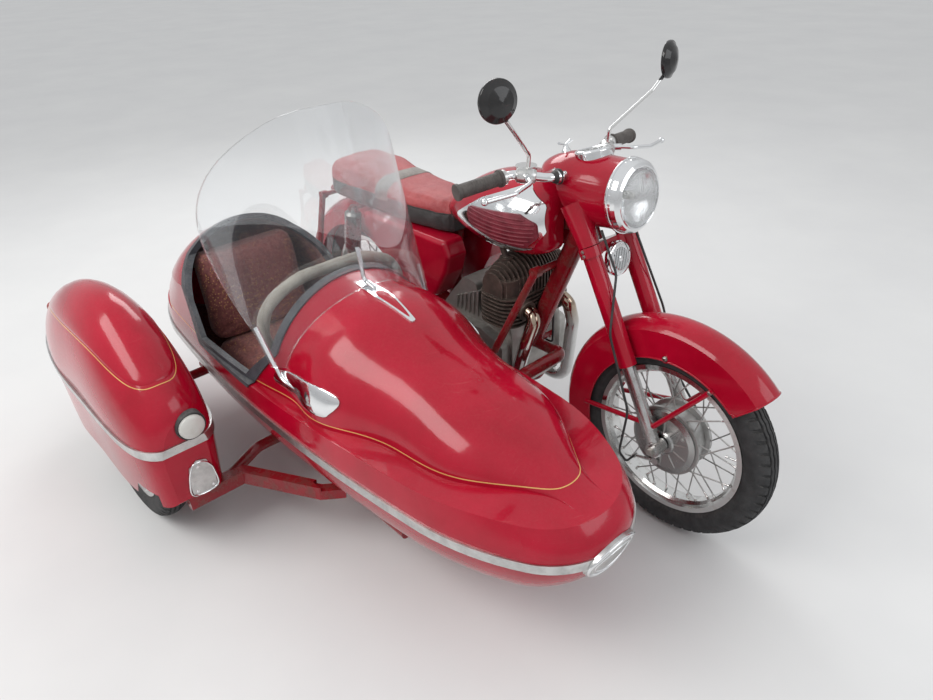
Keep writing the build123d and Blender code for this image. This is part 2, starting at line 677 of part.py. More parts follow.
chain_case = [
    (-902, 258), (-902, 350), (-1000, 368), (-1330, 384), (-1392, 344), (-1408, 288), (-1392, 234), (-1330, 194),
    (-1000, 238),
]
with BuildPart() as swingarm:
    for q in (-1, 1):
        add(rod(bike(pivot_x, q * 88, pivot_z), bike(pivot_x, q * sleeve_y, pivot_z), 24))
        add(rod(bike(pivot_x, q * arm_y * 1.28, pivot_z), bike(rear_x, q * arm_y * 1.28, tyre_r), arm_r))
        add(rod(bike(rear_x, q * arm_y * 1.5, tyre_r), bike(rear_x, q * (arm_y - 2), tyre_r), 22))
        add(rod(bike(rear_x + 8, q * 102, 330), bike(rear_x + 8, q * 140, 330), 7))
        add(rod(bike(rear_x + 8, q * 102, tyre_r), bike(rear_x + 8, q * 102, 336), 9))
    add(rod(bike(rear_x, -arm_y, tyre_r), bike(rear_x, arm_y, tyre_r), axle_r))
    add(side_plate(chain_case, hub_half + 14, hub_half + 40, 22))
    add(brake_plate(rear_x, 0, -1))
    add(rod(bike(rear_x - 60, -hub_mouth - 6, tyre_r + 20), bike(rear_x - 60, -arm_y * 1.28, tyre_r + 4), 7))
    add(rod(bike(rear_x - 60, -arm_y * 1.28, tyre_r + 4), bike(rear_x, -arm_y * 1.28, tyre_r), 9))
    add(
        rod(bike(pivot_x, -104 - seat_gap, pivot_z), bike(pivot_x, 104 + seat_gap, pivot_z), 16 + seat_gap),
        mode=Mode.SUBTRACT,
    )
save(swingarm.part, "swingarm")

shock_top = bike(-1240, -126, rail_z)
shock_low = bike(rear_x + 8, -126, 330)
shock_dir = (shock_low - shock_top).normalized()
shock_length = (shock_low - shock_top).length
shock_profile = [
    (-8, 0), (-8, 12), (12, 20), (20, 29), (150, 29), (156, 24), (170, 24), (178, 20),
    (shock_length - 30, 20), (shock_length - 14, 14), (shock_length + 12, 12), (shock_length + 12, 0),
]
with BuildPart() as shocks:
    add(turned(shock_profile, shock_top, shock_dir))
    for end, pin_r in ((shock_top, 8), (shock_low, 7)):
        add(rod(end - Vector(0, 40, 0), end + Vector(0, 60, 0), pin_r + seat_gap), mode=Mode.SUBTRACT)
    mirror(about=centre_plane)
save(shocks.part, "shocks")

# Lamp on the rear fender and the sidecar's pod, foot controls, cables and centre stand


def hull_outline(a, b):
    """Closed boat-shaped outline of a half length and a half width."""
    x1, y1 = 0.9 * a, 0.577 * b
    x2, y2 = 0.622 * a, 0.877 * b
    end_r = ((a - x1) ** 2 + y1 ** 2) / (2 * (a - x1))
    along = x1 - a + end_r
    ThreePointArc((x1, -y1), (a, 0), (x1, y1))
    TangentArc((x1, y1), (x2, y2), tangent=(-y1, along))
    ThreePointArc((x2, y2), (0, b), (-x2, y2))
    TangentArc((-x1, y1), (-x2, y2), tangent=(y1, along))
    ThreePointArc((-x1, y1), (-a, 0), (-x1, -y1))
    TangentArc((-x1, -y1), (-x2, -y2), tangent=(y1, -along))
    ThreePointArc((-x2, -y2), (0, -b), (x2, -y2))
    TangentArc((x1, -y1), (x2, -y2), tangent=(-y1, -along))


lower_sections = [  # height, half length, half width
    (floor_z, 800.0, 200.0), (262.0, 905.0, 252.0), (strip_z, body_half_length, body_half_width),
]
upper_sections = [
    (strip_z, body_half_length, body_half_width), (410.0, 960.0, 286.0), (450.0, 930.0, 281.0), (520.0, 868.0, 272.0),
    (640.0, 806.0, 257.0), (800.0, 760.0, 236.0),
]
roof_sections = [  # x, half width of the hump, its foot, its top, the deck at the side
    (215.0, 30.0, 438.0, 441.0, 424.0),
    (100.0, 44.0, 458.0, 463.0, 440.0),
    (40.0, 64.0, 464.0, 490.0, 446.0),
    (-60.0, 132.0, 464.0, 546.0, 450.0),
    (-220.0, 186.0, 460.0, 604.0, 450.0),
    (-420.0, 226.0, 456.0, 662.0, 446.0),
    (-620.0, 250.0, 450.0, 702.0, 440.0),
    (-800.0, 264.0, 444.0, 722.0, 434.0),
    (-1050.0, 270.0, 440.0, 732.0, 430.0),
    (-1300.0, 262.0, 438.0, 718.0, 428.0),
    (-1480.0, 222.0, 430.0, 640.0, 420.0),
    (-1640.0, 150.0, 414.0, 500.0, 404.0),
    (-1745.0, 80.0, 394.0, 404.0, 386.0),
]


def hull_body(grow):
    """Hull without its cavity, grown evenly outwards."""
    with BuildPart() as piece:
        for z, a, b in lower_sections:
            with BuildSketch(Plane(bike(body_x, body_y, z - (grow if z == floor_z else 0)))):
                with BuildLine():
                    hull_outline(a + grow, b + grow)
                make_face()
        loft()
    with BuildPart() as upper:
        for z, a, b in upper_sections:
            with BuildSketch(Plane(bike(body_x, body_y, z))):
                with BuildLine():
                    hull_outline(a + grow, b + grow)
                make_face()
        loft()
    with BuildPart() as roof:
        for x, half, foot, top, deck in roof_sections:
            with BuildSketch(Plane(origin=bike(x, body_y, 0), x_dir=(0, 1, 0), z_dir=(1, 0, 0))):
                with BuildLine():
                    Polyline((-half - grow, foot + grow), (-330, deck + grow), (-330, 300), (330, 300))
                    Polyline((330, 300), (330, deck + grow), (half + grow, foot + grow))
                    EllipticalCenterArc((0, foot + grow), half + grow, top - foot, 0, arc_size=180)
                make_face()
        loft()
    return piece.part + (upper.part & roof.part)


def cockpit_cutter(grow):
    """Prism of the cockpit's opening in the side view, grown outwards."""
    front = cockpit_front + grow
    rear = cockpit_rear - grow
    low = cockpit_low - grow
    with BuildPart() as piece:
        with BuildSketch(Plane(origin=bike(0, body_y + 400, 0), x_dir=(1, 0, 0), z_dir=(0, -1, 0))) as face:
            with BuildLine():
                Polyline(
                    (front + 26, 900), (front, 560), (front - 110, low), (rear + 190, low), (rear, 640), (rear - 20, 900),
                    close=True,
                )
            make_face()
            low_corners = face.vertices().filter_by_position(Axis.Z, low - 1, 700)
            fillet(low_corners, 70)
        extrude(amount=800)
    return piece.part


hull_skin = hull_body(0)
hull_clear = hull_body(seat_gap)
hull_cavity = hull_body(-wall)
hull_seat = hull_body(-wall - seat_gap)
opening = cockpit_cutter(0)
with BuildPart() as hull:
    add(hull_skin - hull_cavity - cockpit_cutter(3))
save(hull.part, "hull")

hull_shell_clear = hull_clear - hull_seat - cockpit_cutter(3 - seat_gap)
with BuildPart() as coaming:
    add((hull_body(coaming_proud) - hull_body(-wall - coaming_proud)) & cockpit_cutter(coaming_w))
    add(opening, mode=Mode.SUBTRACT)
    add(hull_shell_clear, mode=Mode.SUBTRACT)
save(coaming.part, "coaming")

badge_z = 352.0
badge_half_w = 76.0
badge_half_h = 48.0
badge_t = 9.0


def nose_prism(grow):
    """Oval prism through the hull's nose."""
    with BuildPart() as piece:
        with BuildSketch(Plane(origin=bike(0, body_y, badge_z), x_dir=(0, 1, 0), z_dir=(1, 0, 0))):
            Ellipse(badge_half_w + grow, badge_half_h + grow)
        extrude(amount=400)
    return piece.part


save(largest((hull_body(badge_t) - hull_clear) & nose_prism(0)), "nose_badge")
with BuildPart() as hull_trim:
    with BuildSketch(Plane(bike(body_x, body_y, strip_z - strip_h / 2))):
        with BuildLine():
            hull_outline(body_half_length + strip_t, body_half_width + strip_t)
        make_face()
    extrude(amount=strip_h)
    add(hull_clear, mode=Mode.SUBTRACT)
    add(nose_prism(seat_gap), mode=Mode.SUBTRACT)
save(hull_trim.part, "hull_trim")

# Cockpit: cushion, backrest and padded rail

cushion_front = -930.0
cushion_rear = -1330.0
cushion_top = 350.0
with BuildPart() as sidecar_cushion:
    with BuildSketch(Plane(bike((cushion_front + cushion_rear) / 2, body_y, floor_z + wall + seat_gap))):
        RectangleRounded(cushion_front - cushion_rear, 372, 40)
    extrude(amount=cushion_top - floor_z - wall)
    fillet(sidecar_cushion.faces().sort_by(Axis.Z)[-1].edges(), 28)
    add(hull_seat, mode=Mode.INTERSECT)
save(sidecar_cushion.part, "sidecar_cushion")

backrest_low = cushion_top + 2 * seat_gap
backrest_outline = [(-1232, backrest_low), (-1300, 640), (-1372, 640), (-1350, backrest_low)]
with BuildPart() as sidecar_backrest:
    with BuildSketch(Plane(origin=bike(0, body_y + 190, 0), x_dir=(1, 0, 0), z_dir=(0, -1, 0))) as back_face:
        with BuildLine():
            Polyline(*backrest_outline, close=True)
        make_face()
        fillet(back_face.vertices(), 26)
    extrude(amount=380)
    add(hull_body(-wall - coaming_proud - seat_gap), mode=Mode.INTERSECT)
save(sidecar_backrest.part, "sidecar_backrest")

rail_half = [(-300, 404), (-203, 404), (-203, 500), (-224, 580), (-212, 640), (-110, 700)]  # across, height
rail_bends = [34, 50, 60, 40, 110]
rail_points = [(-796, y, z) for y, z in rail_half] + [(-796, -y, z) for y, z in reversed(rail_half)]
with BuildPart() as grab_rail:
    add(pipe([bike(x, body_y + y, z) for x, y, z in rail_points], 17, rail_bends + rail_bends[::-1]))
    add(hull_shell_clear, mode=Mode.SUBTRACT)
save(largest(grab_rail.part), "grab_rail")

# Windscreen and its brackets

screen_r = 336.0
screen_t = 4.0
screen_foot = bike(-615, body_y, 703)
screen_top = bike(-735, body_y, 1124)
screen_dir = (screen_top - screen_foot).normalized()
screen_half = [  # half width, height
    (0, 1132), (90, 1126), (176, 1090), (248, 1028), (292, 938), (303, 842), (294, 740), (277, 649), (262, 540),
]


def screen_sheet(grow):
    """Bent sheet the windscreen is cut from, grown on both faces."""
    with BuildPart() as piece:
        with BuildSketch(Plane(origin=screen_foot - screen_dir * 420, x_dir=(0, 1, 0), z_dir=screen_dir)):
            with Locations((0, screen_r)):
                Circle(screen_r + grow)
                Circle(screen_r - screen_t - grow, mode=Mode.SUBTRACT)
            with Locations((0, screen_r * 1.75)):
                Rectangle(3 * screen_r, 1.5 * screen_r + 200, mode=Mode.SUBTRACT)
        extrude(amount=1100)
    return piece.part


with BuildPart() as windscreen:
    add(screen_sheet(0))
    with BuildSketch(Plane(origin=bike(-1300, body_y, 0), x_dir=(0, 1, 0), z_dir=(1, 0, 0))):
        with BuildLine():
            Spline(*screen_half, tangents=[(1, 0), (-0.1, -1)])
            Spline(*[(-y, z) for y, z in screen_half], tangents=[(-1, 0), (0.1, -1)])
            Line((262, 540), (-262, 540))
        make_face()
    extrude(amount=1200, mode=Mode.INTERSECT)
    add(hull_body(2), mode=Mode.SUBTRACT)
screen_part = largest(windscreen.part)
save(screen_part, "windscreen")

foot_skin = hull_body(3.5)
side_bracket = [(-744, -263, 640), (-703, -252, 546), (-670, -252, 508), (-600, -245, 504)]
side_foot = [(-716, 486), (-706, 518), (-600, 538), (-500, 500), (-492, 488), (-600, 482)]
top_foot = [(-650, -16), (-650, 16), (-560, 22), (-436, 7), (-436, -7), (-560, -22)]


def foot_plate(points):
    """Thin foot that follows the hull's skin, with an outline of (x, y) in the plan view."""
    with BuildPart() as piece:
        with BuildSketch(Plane(bike(0, body_y, 430))) as face:
            with BuildLine():
                Polyline(*points, close=True)
            make_face()
            fillet(face.vertices(), 5)
        extrude(amount=500)
    return (foot_skin & piece.part) - hull_clear


screen_low = 540.0
screen_outline = [(-1300, screen_low - 1), (-1300, 1300), (-300, 1300), (-300, screen_low - 1)]
screen_zone = side_plate(screen_outline, body_y - 400, body_y + 400)
with BuildPart() as screen_brackets:
    for s in (-1, 1):
        side_prism = side_plate(side_foot, body_y + 100, body_y + 340, 5)
        side_skin = (foot_skin & side_prism) - hull_clear
        add(side_skin if s < 0 else side_skin.mirror(Plane(origin=bike(0, body_y, 0), z_dir=(0, 1, 0))))
        add(pipe([bike(x, body_y - s * y, z) for x, y, z in side_bracket], 6, 40))
    add(foot_plate(top_foot))
    add(pipe([bike(-646, body_y, 800), bike(-634, body_y, 716), bike(-590, body_y, 706)], 6, 16))
    add(hull_clear, mode=Mode.SUBTRACT)
    add(screen_sheet(seat_gap) & screen_zone, mode=Mode.SUBTRACT)
bracket_part = Compound(children=[s for s in screen_brackets.part.solids() if s.volume > 3000])
save(bracket_part, "screen_brackets")

# Sidecar wheel's pod with its lamp, plate and strip

pod_sections = [  # x, half width, underside, top
    (-792.0, 58.0, 205.0, 440.0),
    (-812.0, 84.0, 193.0, 490.0),
    (-860.0, 104.0, 188.0, 545.0),
    (-960.0, 118.0, 176.0, 625.0),
    (-1120.0, 122.0, 166.0, 686.0),
    (-1350.0, 121.0, 160.0, 652.0),
    (-1550.0, 104.0, 160.0, 562.0),
    (-1690.0, 74.0, 168.0, 474.0),
    (-1760.0, 38.0, 200.0, 372.0),
]


def pod_body(grow):
    """Pod without its cavity, grown evenly outwards."""
    first_x = pod_sections[0][0]
    last_x = pod_sections[-1][0]
    with BuildPart() as piece:
        for x, half, low, top in pod_sections:
            x += grow * (x == first_x) - grow * (x == last_x)
            half += grow
            shoulder = low + 0.5 * (top - low)
            with BuildSketch(Plane(origin=bike(x, pod_y, 0), x_dir=(0, 1, 0), z_dir=(1, 0, 0))):
                with BuildLine():
                    Polyline((-half, shoulder), (-half * 0.9, low - grow), (half * 0.9, low - grow), (half, shoulder))
                    EllipticalCenterArc((0, shoulder), half, top - shoulder + grow, 0, arc_size=180)
                make_face()
        loft()
    return piece.part


pod_skin = pod_body(0)
with BuildPart() as wheel_pod:
    add(pod_skin - pod_body(-pod_wall))
    with Locations(bike(-1270, pod_y, 100)):
        Box(880, 2 * pod_half - 8 * pod_wall, 260, mode=Mode.SUBTRACT)
save(largest(wheel_pod.part), "wheel_pod")
pod_clear = pod_body(seat_gap)
with BuildPart() as pod_trim:
    with BuildSketch(Plane(bike(-1200, pod_y, strip_z - strip_h / 2))):
        Rectangle(1400, 400)
    extrude(amount=strip_h)
    add(pod_body(strip_t), mode=Mode.INTERSECT)
    add(pod_clear, mode=Mode.SUBTRACT)
save(largest(pod_trim.part), "pod_trim")

lamp_y = -972.0
pod_lamp_z = 420.0
pod_lamp_r = 36.0
with BuildPart() as pod_lamp:
    add(rod(bike(-830, lamp_y, pod_lamp_z), bike(-784, lamp_y, pod_lamp_z), pod_lamp_r + 4))
    add(rod(bike(-790, lamp_y, pod_lamp_z), bike(-770, lamp_y, pod_lamp_z), pod_lamp_r - 4, pod_lamp_r - 14))
    add(pod_clear, mode=Mode.SUBTRACT)
    add(pod_trim.part, mode=Mode.SUBTRACT)
save(largest(pod_lamp.part), "pod_lamp")

plate_outline = [(-1012, 203), (-946, 203), (-944, 262), (-958, 304), (-984, 312), (-1006, 296), (-1014, 256)]
with BuildPart() as pod_plate:
    with BuildSketch(Plane(origin=bike(-840, 0, 0), x_dir=(0, 1, 0), z_dir=(1, 0, 0))) as plate_face:
        with BuildLine():
            Polyline(*plate_outline, close=True)
        make_face()
        fillet(plate_face.vertices(), 8)
    extrude(amount=100)
    add(pod_body(3.5), mode=Mode.INTERSECT)
    add(pod_clear, mode=Mode.SUBTRACT)
save(largest(pod_plate.part), "pod_plate")

# Rear lamps of the fender and the pod

tail_angle = radians(165)
tail_dir = Vector(cos(tail_angle), 0, sin(tail_angle))
tail_root = bike(rear_x, 0, tyre_r) + tail_dir * (rear_fender_r - 8)
with BuildPart() as tail_lamp:
    add(rod(tail_root, tail_root + tail_dir * 22, 38))
    add(rod(tail_root + tail_dir * 20, tail_root + tail_dir * 46, 34, 26))
    clear_r = rear_fender_r + seat_gap
    add(arch(rear_x, 0, clear_r, rear_fender_half, tyre_r - 16, 36, 188, 34), mode=Mode.SUBTRACT)
with BuildPart() as pod_tail:
    add(rod(bike(-1640, -1020, 430), bike(-1738, -1020, 440), 27, 20))
    add(pod_clear, mode=Mode.SUBTRACT)
save(Compound(children=[largest(tail_lamp.part), largest(pod_tail.part)]), "red_lamps")

# Foot pegs, gear lever, cables and the centre stand

peg_y = 138.0
peg_end = 228.0
peg_z = 267.0
with BuildPart() as foot_controls:
    peg_points = [(-867, 76.6, 250), (-867, 122, 250), (-838, peg_y, peg_z), (-838, peg_end, peg_z)]
    add(pipe([bike(*p) for p in peg_points], 8, 16))
    add(rod(bike(-838, peg_y + 8, peg_z), bike(-838, peg_end, peg_z), 14))
    mirror(about=centre_plane)
    add(rod(bike(-740, crank_half + 38 + seat_gap, 330), bike(-740, 172, 330), 11))
    add(pipe([bike(-740, 164, 330), bike(-650, 172, 372), bike(-620, 172, 372)], 7, 20))
    add(rod(bike(-622, 164, 372), bike(-622, 206, 372), 11))
save(foot_controls.part, "foot_controls")

cable_r = 3.2
brake_cable = [fork(92, -60, 585), fork(96, -62, 470), fork(60, -114, 330), fork(36, -114, 120), bike(-92, -108, 240),
               bike(-78, -90, 204), bike(-78, -57.8, 204)]
speedo_cable = [fork(92, 60, 585), fork(96, 62, 470), fork(60, 114, 330), fork(30, 124, 120), bike(-14, 132, 300),
                bike(0, 120, 288), bike(0, 102.3, 288)]
with BuildPart() as front_cables:
    add(pipe(brake_cable, cable_r, [60, 90, 90, 40, 14]))
    add(pipe(speedo_cable, cable_r, [60, 90, 90, 30, 8]))
    add(nacelle.part, mode=Mode.SUBTRACT)
save(Compound(children=[s for s in front_cables.part.solids() if s.volume > 15000]), "front_cables")
clutch_points = [(-402, 38, 690), (-430, 38, 600), (-466, 38, 470), (-472, 44, 366), (-498 + seat_gap, 44, 366)]
save(pipe([bike(*p) for p in clutch_points], cable_r, [60, 60, 12]), "clutch_cable")

stand_x = -800.0
stand_z = tyre_r - 102 - cradle_r - seat_gap - 10
stand_leg = stand_z - 9
with BuildPart() as centre_stand:
    add(rod(bike(stand_x, -72, stand_z), bike(stand_x, 72, stand_z), 10))
    add(rod(bike(stand_x - 90, -60, stand_z - 4), bike(stand_x - 90, 60, stand_z - 4), 7))
    for q in (-1, 1):
        add(rod(bike(stand_x, q * 58, stand_z), bike(stand_x - stand_leg, q * 64, stand_z - 8), 9))
        with Locations(bike(stand_x - stand_leg + 2, q * 66, stand_z - 8)):
            Box(12, 34, 18)
save(centre_stand.part, "centre_stand")

# Sidecar chassis with its mounts, wheel arm and crossbar

side_arm_y = -962.0
mount_r = 20.0
mount_z = floor_z - seat_gap - mount_r
strut_r = 11.0
bar_half = 15.0
bar_z = 172.0
cross_points = [(-880, -345, chassis_z), (-880, -780, chassis_z), (-880, -870, 146), (-880, -978, 146)]
struts = [  # bends and points of x, y, z
    (40, [(-414, -101, 668), (-556, -222, 262), (-566, -240, chassis_z), (-580, -352, chassis_z)]),
    (24, [(pivot_x, -136, pivot_z), (-890, -215, 200), (-900, -262, chassis_z), (-900, -352, chassis_z)]),
    (40, [(-1440, -120, rail_z), (-1405, -228, 290), (-1400, -256, chassis_z), (-1400, -352, chassis_z)]),
]
with BuildPart() as sidecar_frame:
    for y in (-360, -680):
        add(rod(bike(-300, y, chassis_z), bike(-1450, y, chassis_z), chassis_r))
    add(rod(bike(-420, -345, chassis_z), bike(-420, -690, chassis_z), chassis_r - 2))
    add(rod(bike(-1400, -345, chassis_z), bike(-1400, pod_y + 60, chassis_z), chassis_r - 2) - pod_clear)
    add(pipe([bike(*p) for p in cross_points], chassis_r - 2, 60))
    for bend, points in struts:
        add(pipe([bike(*p) for p in points], strut_r, bend))
    add(rod(bike(-414, -86 - seat_gap, 668), bike(-414, -110, 668), 15))
    add(rod(bike(pivot_x, -sleeve_y - seat_gap, pivot_z), bike(pivot_x, -sleeve_y - 19, pivot_z), 16))
    add(rod(bike(-1440, -104 - seat_gap, rail_z), bike(-1440, -128, rail_z), 14))
    gooseneck = [(lug_x + seat_gap, 0, lug_z), (-398, 0, lug_z), (-398, -190, lug_z), (-420, -214, mount_z),
                 (-420, -352, mount_z)]
    add(pipe([bike(*p) for p in gooseneck], mount_r, [22, 44, 44]))
    add(rod(bike(-880, side_arm_y, 146), bike(side_wheel_x, side_arm_y, tyre_r), arm_r))
    add(rod(bike(side_wheel_x, -985, tyre_r), bike(side_wheel_x, -946, tyre_r), 22))
    add(rod(bike(side_wheel_x, -984, tyre_r), bike(side_wheel_x, side_wheel_y - hub_half - 6, tyre_r), axle_r))
    nut_y = side_wheel_y - hub_half - seat_gap
    add(rod(bike(side_wheel_x, nut_y, tyre_r), bike(side_wheel_x, nut_y - 12, tyre_r), 13))
    add(brake_plate(side_wheel_x, side_wheel_y, 1))
    cross_bar = [(-815, -1024), (-815, -862), (-600, -742), (-560, -690)]
    with BuildPart(mode=Mode.PRIVATE) as bar:
        with BuildSketch(Plane(bike(0, 0, bar_z - bar_half))):
            with BuildLine():
                Polyline(*cross_bar)
            trace(line_width=2 * bar_half)
        extrude(amount=2 * bar_half + 12)
        add(pod_clear, mode=Mode.SUBTRACT)
        with Locations(bike(-580, -680, bar_z + bar_half + 10)):
            Box(90, 140, 20, mode=Mode.SUBTRACT)
    add(largest(bar.part))
save(sidecar_frame.part, "sidecar_frame")
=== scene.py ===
from math import atan2, cos, pi, radians, sin, sqrt, tau

import bmesh
import bpy
from mathutils import Matrix, Vector
from mathutils.bvhtree import BVHTree


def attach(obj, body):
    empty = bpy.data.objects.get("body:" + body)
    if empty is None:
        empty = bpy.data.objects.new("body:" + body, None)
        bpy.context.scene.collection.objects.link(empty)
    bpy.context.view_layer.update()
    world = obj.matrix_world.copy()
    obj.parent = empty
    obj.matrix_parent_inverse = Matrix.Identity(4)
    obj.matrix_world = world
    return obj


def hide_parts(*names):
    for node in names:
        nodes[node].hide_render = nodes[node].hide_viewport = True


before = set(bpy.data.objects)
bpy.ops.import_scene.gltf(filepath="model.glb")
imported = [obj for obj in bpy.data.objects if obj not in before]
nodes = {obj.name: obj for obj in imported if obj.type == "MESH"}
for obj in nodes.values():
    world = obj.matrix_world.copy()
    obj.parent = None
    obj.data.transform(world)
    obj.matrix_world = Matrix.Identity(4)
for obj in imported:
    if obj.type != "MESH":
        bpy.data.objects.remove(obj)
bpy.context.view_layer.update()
scene = bpy.context.scene
scene.view_settings.view_transform = "Standard"

# Places, in millimetres: the motorcycle's from the front axle, its centre plane and the floor

front_axle = Vector((736.0, 382.0, 0.0))
wheelbase = 1318.0
tyre_r = 288.0
rake = radians(27.0)
axle_lead = 55.0  # from the steering axis forward to the front axle
fork_foot = Vector((front_axle.x - axle_lead * cos(rake), front_axle.y, tyre_r - axle_lead * sin(rake)))
fork_ahead = Vector((cos(rake), 0.0, sin(rake)))
fork_up = Vector((-sin(rake), 0.0, cos(rake)))
across = Vector((0.0, 1.0, 0.0))
ahead = Vector((1.0, 0.0, 0.0))
down = Vector((0.0, 0.0, -1.0))
hull_y = -505.0
pod_y = -1000.0
above = 1300.0  # a height over everything, from which points are dropped on to a skin
wheels = [  # body, x, y, side of its brake plate, name of the plate's ribs, body that carries them
    ("front_wheel", 0.0, 0.0, -1, "front_plate_ribs", "steering"),
    ("rear_wheel", -wheelbase, 0.0, -1, "rear_plate_ribs", "chassis"),
    ("sidecar_wheel", -1120.0, -1038.0, 1, "side_plate_ribs", "chassis"),
]
core = 0.01  # radius that stands for the line itself where a turned profile meets it


def bike(x, y, z):
    """Point in metres, from millimetres off the front axle, the centre plane and the floor."""
    return Vector((front_axle.x + x, front_axle.y + y, z)) / 1000


def fork(p, q, t):
    """Point in metres, from millimetres ahead of the steering axis, to its left and up along it."""
    return (fork_foot + fork_ahead * p + across * q + fork_up * t) / 1000


# Camera


def aim_camera(spot, yaw, pitch, roll, lens):
    """Camera at a spot, turned from straight ahead, down and about its own axis, in degrees."""
    y, p, r = radians(yaw), radians(pitch), radians(roll)
    view = Vector((cos(p) * cos(y), cos(p) * sin(y), -sin(p)))
    right = view.cross(Vector((0, 0, 1))).normalized()
    up = right.cross(view)
    side = right * cos(r) + up * sin(r)
    top = up * cos(r) - right * sin(r)
    data = bpy.data.cameras.new("camera")
    data.lens = lens
    data.sensor_width = 36.0
    data.sensor_fit = "HORIZONTAL"
    camera = bpy.data.objects.new("camera", data)
    scene.collection.objects.link(camera)
    turn = Matrix((side, top, -view)).transposed().to_4x4()
    camera.matrix_world = Matrix.Translation(spot) @ turn
    scene.camera = camera


aim_camera(spot=(1.5439, -1.0453, 1.5012), yaw=138.858, pitch=30.764, roll=-2.487, lens=28.05)

# Shader node helpers


def node(tree, kind, inputs=(), **settings):
    """New shader node: sockets given are linked, and numbers given are set on its inputs."""
    made = tree.nodes.new(kind)
    for key, value in settings.items():
        setattr(made, key, value)
    for key, value in dict(inputs).items():
        if isinstance(value, bpy.types.NodeSocket):
            tree.links.new(value, made.inputs[key])
        else:
            made.inputs[key].default_value = value
    return made


def new_group(name, inputs, outputs):
    """Empty shader group with its named inputs and outputs."""
    tree = bpy.data.node_groups.new(name, "ShaderNodeTree")
    for label, value in inputs.items():
        kind = "NodeSocketVector" if isinstance(value, tuple) else "NodeSocketFloat"
        tree.interface.new_socket(label, in_out="INPUT", socket_type=kind).default_value = value
    for label in outputs:
        tree.interface.new_socket(label, in_out="OUTPUT", socket_type="NodeSocketFloat")
    given = tree.nodes.new("NodeGroupInput").outputs
    return tree, given, tree.nodes.new("NodeGroupOutput").inputs


def place(tree, group, **values):
    """A group placed in a material with its own values."""
    made = tree.nodes.new("ShaderNodeGroup")
    made.node_tree = group
    for key, value in values.items():
        made.inputs[key].default_value = value
    return made.outputs


def spread(tree, value, low, high, to_low=0.0, to_high=1.0):
    """Value stretched from one range to another and held inside it."""
    inputs = {0: value, 1: low, 2: high, 3: to_low, 4: to_high}
    return node(tree, "ShaderNodeMapRange", inputs).outputs[0]


def maths(tree, operation, a, b):
    return node(tree, "ShaderNodeMath", {0: a, 1: b}, operation=operation).outputs[0]


def times(tree, a, b):
    return maths(tree, "MULTIPLY", a, b)


def raised(tree, base, mask, amount):
    """Value raised by a mask times an amount."""
    return maths(tree, "ADD", base, times(tree, mask, amount))


def vector_maths(tree, operation, a, b=(0.0, 0.0, 0.0)):
    return node(tree, "ShaderNodeVectorMath", {0: a, 1: b}, operation=operation).outputs


def mixed(tree, factor, a, b):
    """Colour that goes from a to b with a mask."""
    made = node(tree, "ShaderNodeMix", data_type="RGBA")
    for index, value in ((0, factor), (6, a), (7, b)):
        if isinstance(value, bpy.types.NodeSocket):
            tree.links.new(value, made.inputs[index])
        else:
            made.inputs[index].default_value = value if index == 0 else (*value, 1.0)
    return made.outputs[2]


def tint(tree, base, mask, amount, colour):
    """Colour that turns to another by a mask times an amount."""
    return mixed(tree, times(tree, mask, amount), base, colour)


def own_place(tree):
    """The object's own coordinates, in metres."""
    return node(tree, "ShaderNodeTexCoord").outputs["Object"]


def noise(tree, scale, detail=3.0, rough=0.55, vector=None):
    """Noise over the object's own coordinates, in waves per metre."""
    where = vector or own_place(tree)
    inputs = {"Vector": where, "Scale": scale, "Detail": detail, "Roughness": rough}
    return node(tree, "ShaderNodeTexNoise", inputs).outputs[0]


def stretched(tree, scale):
    """Object coordinates squeezed by a scale along each axis."""
    return node(tree, "ShaderNodeMapping", {"Vector": own_place(tree), "Scale": scale}).outputs[0]


# Effects that several finishes share


def build_weathering():
    """Slow blotches, dust on upward faces, fine specks, hair scratches and a soft ripple."""
    tree, given, made = new_group(
        "weathering", {"Scale": 1.0}, ("Blotch", "Dust", "Speck", "Scratch", "Ripple")
    )
    size = times(tree, given["Scale"], 5.0)
    tree.links.new(spread(tree, noise(tree, size, 6.0, 0.62), 0.36, 0.68), made["Blotch"])
    normal = node(tree, "ShaderNodeNewGeometry").outputs["Normal"]
    height = node(tree, "ShaderNodeSeparateXYZ", {0: normal}).outputs[2]
    grains = spread(tree, noise(tree, 140.0, 6.0, 0.7), 0.42, 0.66)
    tree.links.new(times(tree, spread(tree, height, 0.1, 1.0), grains), made["Dust"])
    tree.links.new(spread(tree, noise(tree, 420.0, 2.0, 0.5), 0.69, 0.73), made["Speck"])
    lines = noise(tree, 1.0, 4.0, 0.6, stretched(tree, (7.0, 9.0, 620.0)))
    faint = noise(tree, 1.0, 3.0, 0.6, stretched(tree, (480.0, 12.0, 26.0)))
    thin = maths(tree, "MAXIMUM", spread(tree, lines, 0.66, 0.70), spread(tree, faint, 0.68, 0.72))
    tree.links.new(thin, made["Scratch"])
    tree.links.new(noise(tree, 75.0, 2.0, 0.4), made["Ripple"])
    return tree


def build_edge_wear():
    """Mask of the edges where the finish has rubbed off."""
    tree, given, made = new_group("edge wear", {"Radius": 0.002}, ("Mask",))
    rounded = node(tree, "ShaderNodeBevel", {"Radius": given["Radius"]}, samples=4).outputs[0]
    flat = node(tree, "ShaderNodeNewGeometry").outputs["Normal"]
    same = vector_maths(tree, "DOT_PRODUCT", rounded, flat)["Value"]
    edge = spread(tree, same, 0.995, 0.86)
    patchy = spread(tree, noise(tree, 60.0, 5.0, 0.7), 0.38, 0.6)
    tree.links.new(times(tree, edge, patchy), made["Mask"])
    return tree


